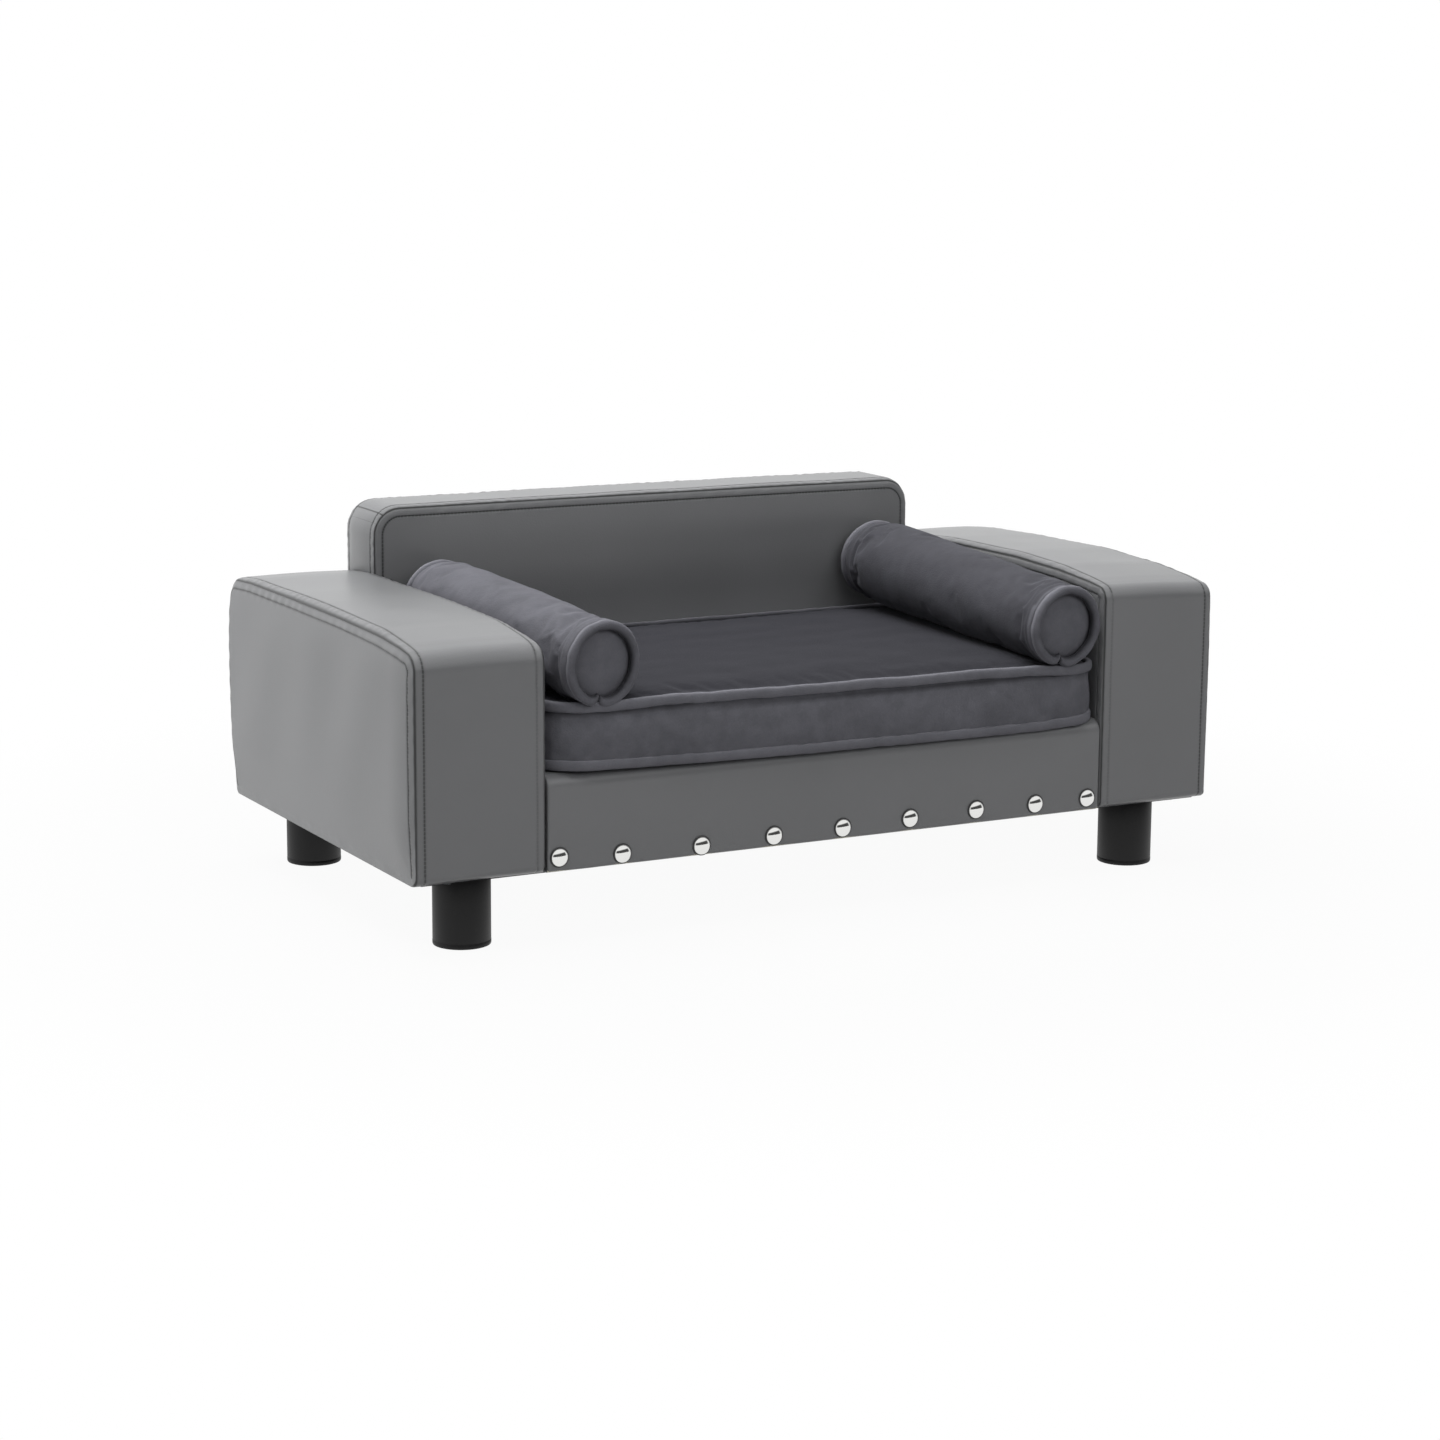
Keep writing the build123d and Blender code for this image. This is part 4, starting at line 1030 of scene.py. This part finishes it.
def paper_floor(scene):
    """Paper floor that keeps the sofa's shadow and turns plain white further out."""
    paper, tree, shader = new_material("white_paper_floor")
    fill(tree, shader, Base_Color=linear("#a0a0a0"), Roughness=0.95, Specular_IOR_Level=0.0)
    seen = seen_rays(tree)[1]
    spot = add_node(tree, "ShaderNodeTexCoord").outputs["Object"]
    far = add_node(tree, "ShaderNodeVectorMath", {0: spot}, operation="LENGTH").outputs["Value"]
    fade = {0: far, 1: 0.45, 2: 1.0, 3: 0.95, 4: 1.0}
    out = add_node(tree, MAP, fade, interpolation_type="SMOOTHSTEP").outputs[0]
    plain = {"Color": (1, 1, 1, 1), "Strength": 1.0}
    white = add_node(tree, "ShaderNodeEmission", plain).outputs[0]
    share = add_node(tree, MATH, {0: out, 1: seen}, operation="MULTIPLY").outputs[0]
    both = add_node(tree, "ShaderNodeMixShader", {0: share, 1: shader.outputs[0], 2: white})
    tree.links.new(both.outputs[0], tree.nodes["Material Output"].inputs[0])
    mesh = bpy.data.meshes.new("floor")
    mesh.from_pydata([(-30, -30, 0), (30, -30, 0), (30, 30, 0), (-30, 30, 0)], [], [(0, 1, 2, 3)])
    mesh.materials.append(paper)
    floor = bpy.data.objects.new("floor", mesh)
    scene.collection.objects.link(floor)
    floor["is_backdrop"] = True


def white_studio(scene):
    """White surroundings, dim for the light that they give."""
    world = bpy.data.worlds.new("white_studio")
    world.use_nodes = True
    tree = world.node_tree
    tree.nodes.clear()
    path, seen = seen_rays(tree)
    bright = {0: seen, 1: 0.73, 2: 0.27}
    strength = add_node(tree, MATH, bright, operation="MULTIPLY_ADD").outputs[0]
    # The unlit room in front, as bright metal mirrors it: a band over the horizon
    where = add_node(tree, "ShaderNodeTexCoord").outputs["Generated"]
    part = add_node(tree, "ShaderNodeSeparateXYZ", {0: where}).outputs
    in_front = {0: part[1], 1: -0.2, 2: -0.5, 3: 0.0, 4: 1.0}
    ahead = add_node(tree, MAP, in_front).outputs[0]
    under_top = {0: part[2], 1: 0.45, 2: 0.36, 3: 0.0, 4: 1.0}
    low = add_node(tree, MAP, under_top).outputs[0]
    band = add_node(tree, MATH, {0: ahead, 1: low}, operation="MULTIPLY").outputs[0]
    mirrored = {0: band, 1: path["Is Glossy Ray"]}
    room = add_node(tree, MATH, mirrored, operation="MULTIPLY").outputs[0]
    unlit = add_node(tree, MATH, {0: room, 1: 0.93}, operation="MULTIPLY").outputs[0]
    lit = add_node(tree, MATH, {0: 1.0, 1: unlit}, operation="SUBTRACT").outputs[0]
    power = add_node(tree, MATH, {0: strength, 1: lit}, operation="MULTIPLY").outputs[0]
    light = {"Color": (1, 1, 1, 1), "Strength": power}
    background = add_node(tree, "ShaderNodeBackground", light)
    output = add_node(tree, "ShaderNodeOutputWorld")
    tree.links.new(background.outputs[0], output.inputs[0])
    scene.world = world


def studio_lamps(scene):
    """Three soft lamps, all turned to the sofa's middle."""
    lamps = {
        # name: (place, width, height, watts)
        "left_softbox": ((-1.9, 0.9, 0.25), 1.5, 0.9, 28),
        "top_softbox": ((-0.5, 0.2, 2.4), 2.4, 2.0, 98),
        "front_fill": ((0.2, -3.0, 1.9), 2.0, 1.6, 36),
    }
    for name, (place, width, height, watts) in lamps.items():
        lamp = bpy.data.lights.new(name, "AREA")
        lamp.shape = "RECTANGLE"
        lamp.size, lamp.size_y = width, height
        lamp.energy = watts * scene.sofa.lamp_level
        piece = bpy.data.objects.new(name, lamp)
        piece.location = place
        way = Vector((0, 0, 0.2)) - Vector(place)
        piece.rotation_euler = way.to_track_quat("-Z", "Y").to_euler()
        piece.visible_glossy = False  # shiny pieces mirror the plain studio alone
        scene.collection.objects.link(piece)


def photo_camera(scene):
    """Camera solved from the photograph: its place, turn, pitch, roll and focal length."""
    yaw, pitch, roll = math.radians(28.28), math.radians(11.06), math.radians(0.386)
    level = math.cos(pitch)
    ahead = Vector((math.sin(yaw) * level, math.cos(yaw) * level, -math.sin(pitch)))
    level_right = Vector((math.cos(yaw), -math.sin(yaw), 0))
    level_up = level_right.cross(ahead)
    right = level_right * math.cos(roll) + level_up * math.sin(roll)
    up = level_up * math.cos(roll) - level_right * math.sin(roll)
    camera = bpy.data.cameras.new("camera")
    camera.sensor_width = 36.0
    camera.lens = 36.0 * 3419.4 / 1440
    piece = bpy.data.objects.new("camera", camera)
    turn = Matrix((right, up, -ahead)).transposed().to_4x4()
    piece.matrix_world = Matrix.Translation((-1.4945, -2.7755, 0.7512)) @ turn
    scene.collection.objects.link(piece)
    scene.camera = piece


class SofaSettings(bpy.types.PropertyGroup):
    """Colours and the lamps' level that a user would change."""

    leather_colour: bpy.props.StringProperty(
        name="Leather", description="sRGB hex colour of the faux leather", default="#616263"
    )
    # The thread's colour, also used for the painted shade along the seams
    leather_shade: bpy.props.StringProperty(
        name="Leather seams", description="sRGB hex colour in seams and stitches", default="#232424"
    )
    plush_colour: bpy.props.StringProperty(
        name="Plush", description="sRGB hex colour of the plush's pile", default="#55555a"
    )
    plush_bright: bpy.props.StringProperty(
        name="Plush nap", description="sRGB hex colour of the brushed nap", default="#626268"
    )
    lamp_level: bpy.props.FloatProperty(
        name="Lamp level", description="Share of the lamps' plain level", default=1.0, min=0.0
    )


class SOFA_OT_materials(bpy.types.Operator):
    """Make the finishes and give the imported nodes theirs"""

    bl_idname = "sofa.materials"
    bl_label = "Materials"

    def execute(self, context):
        settings = context.scene.sofa
        made = {
            "leather": faux_leather(settings.leather_colour, settings.leather_shade),
            "plush": plush(settings.plush_colour, settings.plush_bright),
            # Fine spark-eroded mould: nearly black, with a dull broad highlight
            "foot": plain_material(
                "moulded_black_abs", "#070708", 0.5, 0.0016, "#0b0b0c", gloss=0.3
            ),
            # Bright plating on a pressed dome: it mirrors the studio
            "chrome": plain_material(
                "chromed_steel_nail", "#e6e6e4", 0.09, 0.01, metallic=1.0, bump=0.02
            ),
            # The nail's shaded rim and the leather that it presses in
            # Painted shadow: a dark ring under each nail's rim, where the leather is pressed in
            "nail_edge": plain_material("shaded_nail_edge", "#2e2e2e", 0.5, 0.004),
            # Sanded, uncoated sheet: pale, with long soft grain
            "plywood": plain_material(
                "poplar_plywood", "#c9a877", 0.62, 0.02, "#b48e5c", stretch=(1, 1, 9), bump=0.2
            ),
            # Planed and unfinished: yellow, with streaks along the length
            "pine": plain_material(
                "planed_pine", "#d8b27a", 0.6, 0.016, "#bd9256", stretch=(1, 7, 7)
            ),
            # Open cells, cut: cream, and with no shine at all
            "foam": plain_material("polyether_foam", "#d9d3bd", 0.95, 0.002, "#cbc4ab", bump=0.6),
            # Blown fibre: white, soft and matt
            "fibre": plain_material("polyester_fibre", "#e8e8e4", 0.97, 0.006, "#d8d8d4", bump=0.6),
            # Non-woven and bonded in points: black with a felted speckle
            "dust_cloth": plain_material(
                "spunbond_dust_cloth", "#111112", 0.9, 0.0012, "#242426", bump=0.5
            ),
            # Dull plating: grey metal with a blurred shine
            "zinc": plain_material(
                "zinc_plated_steel", "#b9bcc0", 0.35, 0.002, "#a3a7ab", metallic=1.0
            ),
            # Twill tape and nylon teeth: black and almost matt
            "zip_tape": plain_material(
                "woven_zip_tape", "#1d1d20", 0.8, 0.0008, "#2b2b2f", bump=0.5
            ),
            # Sprayed enamel on cast zinc: black with a small sharp highlight
            "enamel": plain_material("enamelled_zip_slider", "#17171a", 0.28, 0.003),
        }
        MATERIALS.update(made)
        paint(("_board", "seat_deck"), made["plywood"])
        paint(("_rail", "_batten", "_post"), made["pine"])
        paint(("_padding", "cushion_foam"), made["foam"])
        paint(("_filling",), made["fibre"])
        paint(("_foot",), made["foot"])
        paint(("decor_nails",), made["chrome"])
        paint(("foot_studs", "foot_nuts", "joining_screws"), made["zinc"])
        paint(("dust_cover",), made["dust_cloth"])
        paint(("cushion_zip",), made["zip_tape"])
        paint(("zip_slider",), made["enamel"])
        return {"FINISHED"}


class SOFA_OT_arms(bpy.types.Operator):
    """Sew the leather covers of both arms"""

    bl_idname = "sofa.arms"
    bl_label = "Arm covers"

    def execute(self, context):
        seams = {-1: (-ARM_OUTER_SEAM, -ARM_INNER_SEAM), 1: (ARM_INNER_SEAM, ARM_OUTER_SEAM)}
        for side, hand in ((-1, "left"), (1, "right")):

            def place(flat, x, side=side):
                """The right arm's top also rises towards the seat, behind its front."""
                y, z = flat[:, 0], flat[:, 1]
                x = np.broadcast_to(x, len(flat))
                inward = np.clip((ARM_OUTER_SEAM - x) / (ARM_OUTER_SEAM - ARM_INNER_SEAM), 0, 1)
                tilt = 4.5 * (side > 0) * inward * ease(190, 268, z) * ease(210, 60, y)
                return np.stack([x, y, z + tilt], axis=1)

            cover = wrapped_cover(
                f"{hand}_arm_leather", arm_shape(side), place, seams[side], arm_swell(side),
                MATERIALS["leather"], lambda outline: ease(UNDERSIDE, 66.0, outline[:, 1]), True,
                faint="high" if side < 0 else "low",
            )
            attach(cover, "sofa")
            panels = (f"{hand}_arm_outer_panel", f"{hand}_arm_inner_panel", f"{hand}_arm_band")
            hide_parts(*panels)
        return {"FINISHED"}


class SOFA_OT_backrest(bpy.types.Operator):
    """Sew the backrest's leather cover"""

    bl_idname = "sofa.backrest"
    bl_label = "Backrest cover"

    def execute(self, context):
        def place(flat, y):
            """The outline stands across the sofa, in x and z."""
            return np.stack([flat[:, 0], np.broadcast_to(y, len(flat)), flat[:, 1]], axis=1)

        cover = wrapped_cover(
            "backrest_leather", backrest_shape(), place, BACKREST_SEAMS, backrest_swell,
            MATERIALS["leather"], lambda outline: ease(63.8, 66.0, outline[:, 1]), True,
            joints=[(-288.0, 332.6), (287.8, 330.8)],
        )
        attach(cover, "sofa")
        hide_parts("backrest_front_panel", "backrest_rear_panel", "backrest_band")
        return {"FINISHED"}


class SOFA_OT_base(bpy.types.Operator):
    """Stretch the leather over the front rail and the deck"""

    bl_idname = "sofa.base"
    bl_label = "Base cover"

    def execute(self, context):
        def place(flat, x):
            """The outline is the side view, in y and z."""
            return np.stack([np.broadcast_to(x, len(flat)), flat[:, 0], flat[:, 1]], axis=1)

        cover = wrapped_cover(
            "base_leather", base_shape(), place, (-BASE_HALF, BASE_HALF), base_swell,
            MATERIALS["leather"], lambda outline: np.ones(len(outline)), False,
            middle_step=3.4, roll=0.8,
        )
        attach(cover, "sofa")
        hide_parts("base_cover")
        return {"FINISHED"}


class SOFA_OT_cushion(bpy.types.Operator):
    """Stuff the plush seat cushion and sew its two welts"""

    bl_idname = "sofa.cushion"
    bl_label = "Seat cushion"

    def execute(self, context):
        outline = cushion_plan(5.0)[0]
        middle = np.stack([np.clip(outline[:, 0], -120, 120), np.full(len(outline), -37.0)], axis=1)
        pad = stuff_cushion(outline, middle)
        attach(pad, "seat_cushion")
        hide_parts("cushion_top_panel", "cushion_boxing", "cushion_bottom_panel")

        foam = cushion_core(outline, middle)
        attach(foam, "seat_cushion")
        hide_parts("cushion_foam")

        path, normals = cushion_plan(3.0)
        x, y = path.T
        pressed = 0.6 * bolster_dip(x, y) * ease(60, -120, y)
        top = seam_height(x, y) - pressed + 0.5 * ripple(71, 60, x, y)
        bottom = under_height(x, y) + 0.35 * ripple(72, 60, x, y)
        for level, height, seed in (("top", top, 74), ("bottom", bottom, 73)):
            welt = cushion_welt(f"seat_cushion_{level}_welt", path, normals, height, seed)
            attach(welt, "seat_cushion")
            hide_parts(f"cushion_{level}_welt")
        return {"FINISHED"}


class SOFA_OT_bolsters(bpy.types.Operator):
    """Stuff both plush bolsters and sew the welts round their ends"""

    bl_idname = "sofa.bolsters"
    bl_label = "Bolsters"

    def execute(self, context):
        for hand, seed in (("left", 100), ("right", 120)):
            roll = stuff_bolster(hand, seed)
            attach(roll, f"{hand}_bolster")
            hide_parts(f"{hand}_bolster_cover")

            fibre = bolster_core(hand)
            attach(fibre, f"{hand}_bolster")
            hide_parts(f"{hand}_bolster_filling")

            welts = [bolster_welt(hand, end, seed) for end in (0, 1)]
            for welt in welts:
                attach(welt, f"{hand}_bolster")
            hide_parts(f"{hand}_bolster_welts")
        return {"FINISHED"}


class SOFA_OT_feet(bpy.types.Operator):
    """Mould the four feet, each with a lipped rim and a hollow under it"""

    bl_idname = "sofa.feet"
    bl_label = "Feet"

    def execute(self, context):
        hollow = [(0, 2.5), (14, 2.5), (15, 2.2), (15.8, 0.5), (16.6, 0)]
        lip = [(24.0, 0), (24.8, 0.3), (25.2, 1.1), (25.3, 2.0), (25.3, 4.0)]
        groove = [(24.9, 4.4), (24.9, 4.8), (25.2, 5.2)]
        stem = [(25.2, 40), (25.2, 61.6), (24.7, HEM_FACE), (0, HEM_FACE)]
        profile = hollow + lip + groove + stem
        for name in ("front_left", "front_right", "rear_left", "rear_right"):
            low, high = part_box(f"{name}_foot")
            centre = ((low.x + high.x) / 2 / MM, (low.y + high.y) / 2 / MM, 0)
            label = f"{name}_moulded_foot"
            foot = turned(label, profile, [centre], (0, 0, 1), MATERIALS["foot"], 96)
            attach(foot, "sofa")
            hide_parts(f"{name}_foot")
        return {"FINISHED"}


class SOFA_OT_nails(bpy.types.Operator):
    """Press the dome nails: smooth caps with a thin rolled rim"""

    bl_idname = "sofa.nails"
    bl_label = "Dome nails"

    def execute(self, context):
        # A dome is a sphere's cap out to 80 degrees, 8 mm in radius and flattened to 3.8 mm
        angle = np.linspace(0, math.radians(80), 14)
        radius = 8.0 * np.sin(angle) / np.sin(angle[-1])
        height = 0.4 + 4.6 * (np.cos(angle) - np.cos(angle[-1]))
        dome = np.column_stack([radius, height])
        profile = np.concatenate([dome, [(7.9, 0.1), (7.4, 0.0), (0, 0.0)]])
        centres = [(x, RAIL_FACE, z) for x, z in NAILS]
        nails = turned("dome_nails", profile, centres, (0, -1, 0), MATERIALS["chrome"], 48)
        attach(nails, "sofa")
        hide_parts("decor_nails")
        # A dark flat disc under each cap, a little wider than it: painted shadow round the nail's
        # rim
        edge = [(0, 0.3), (8.2, 0.3), (8.8, 0.1), (8.9, -0.3), (0, -0.3)]
        shadow_rings = turned("nail_edges", edge, centres, (0, -1, 0), MATERIALS["nail_edge"], 48)
        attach(shadow_rings, "sofa")
        return {"FINISHED"}


class SOFA_OT_staples(bpy.types.Operator):
    """Fire the wire staples that hold the dust cover and the leather's hems"""

    bl_idname = "sofa.staples"
    bl_label = "Staples"

    def execute(self, context):
        # One staple: a wire crown 10 mm long and 1.1 mm thick with bent-down ends
        bend = np.array(
            [(-5.2, 0.55), (-4.9, 0.05), (-4.2, -0.35), (4.2, -0.35), (4.9, 0.05), (5.2, 0.55)]
        )
        wire, sides = 0.55, 6
        angle = full_turn(sides)
        along = np.repeat(bend[:, 0], sides)
        side = np.tile(wire * np.cos(angle), len(bend))
        rise = (bend[:, 1:] + wire * np.sin(angle)).ravel()
        random = np.random.default_rng(5)
        rows = [(x, y, 0) for x in np.linspace(-372, 372, 17) for y in (-200.0, 200.0)]
        rows += [(x, y, 1) for y in np.linspace(-178, 178, 8) for x in (-389.0, 389.0)]
        places = np.array(rows)
        turn = places[:, 2] * np.pi / 2 + random.normal(0, 0.16, len(places))
        spots = places[:, :2] + random.normal(0, 1.2, (len(places), 2))
        cos, sin = np.cos(turn)[:, None], np.sin(turn)[:, None]
        points = np.stack(
            [
                spots[:, :1] + along * cos - side * sin,
                spots[:, 1:] + along * sin + side * cos,
                np.broadcast_to(HEM_FACE + rise, (len(places), len(rise))),
            ],
            axis=-1,
        )
        offsets = np.arange(len(places)) * len(rise)
        faces = (grid_faces(len(bend), sides)[None] + offsets[:, None, None]).reshape(-1, 4)
        ring = np.arange(sides)
        ends = (ring[::-1], ring + (len(bend) - 1) * sides)
        caps = [cap + offset for offset in offsets for cap in ends]
        zinc = MATERIALS["zinc"]
        staples = put_mesh("hem_staples", points.reshape(-1, 3), faces, zinc, caps=caps)
        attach(staples, "sofa")
        return {"FINISHED"}


class SOFA_OT_stage(bpy.types.Operator):
    """Set up the white studio, its soft lamps and the photograph's camera"""

    bl_idname = "sofa.stage"
    bl_label = "Stage"

    def execute(self, context):
        context.scene.view_settings.view_transform = "Standard"
        for build in (paper_floor, white_studio, studio_lamps, photo_camera):
            build(context.scene)
        return {"FINISHED"}


class SOFA_PT_panel(bpy.types.Panel):
    """Lists the sofa's pieces and settings"""

    bl_idname = "SOFA_PT_panel"
    bl_label = "Dog sofa"
    bl_space_type = "VIEW_3D"
    bl_region_type = "UI"
    bl_category = "Dog sofa"

    def draw(self, context):
        for key in SofaSettings.__annotations__:
            self.layout.prop(context.scene.sofa, key)
        for operator in OPERATORS:
            self.layout.operator(operator.bl_idname)


OPERATORS = (
    SOFA_OT_materials, SOFA_OT_arms, SOFA_OT_backrest, SOFA_OT_base, SOFA_OT_cushion,
    SOFA_OT_bolsters, SOFA_OT_feet, SOFA_OT_nails, SOFA_OT_staples, SOFA_OT_stage,
)
CLASSES = (SofaSettings,) + OPERATORS + (SOFA_PT_panel,)


def register():
    """Register the classes and hang the settings on the scene."""
    for cls in CLASSES:
        bpy.utils.register_class(cls)
    bpy.types.Scene.sofa = bpy.props.PointerProperty(type=SofaSettings)


def unregister():
    """Undo register, in reverse."""
    del bpy.types.Scene.sofa
    for cls in reversed(CLASSES):
        bpy.utils.unregister_class(cls)


def main():
    """Register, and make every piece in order."""
    register()
    for operator in OPERATORS:
        getattr(bpy.ops.sofa, operator.bl_idname.split(".")[1])()
    boxes = {"cad": CAD_BOX, "visual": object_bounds()}
    boxes = {key: [list(corner) for corner in box] for key, box in boxes.items()}


if __name__ == "__main__":
    main()
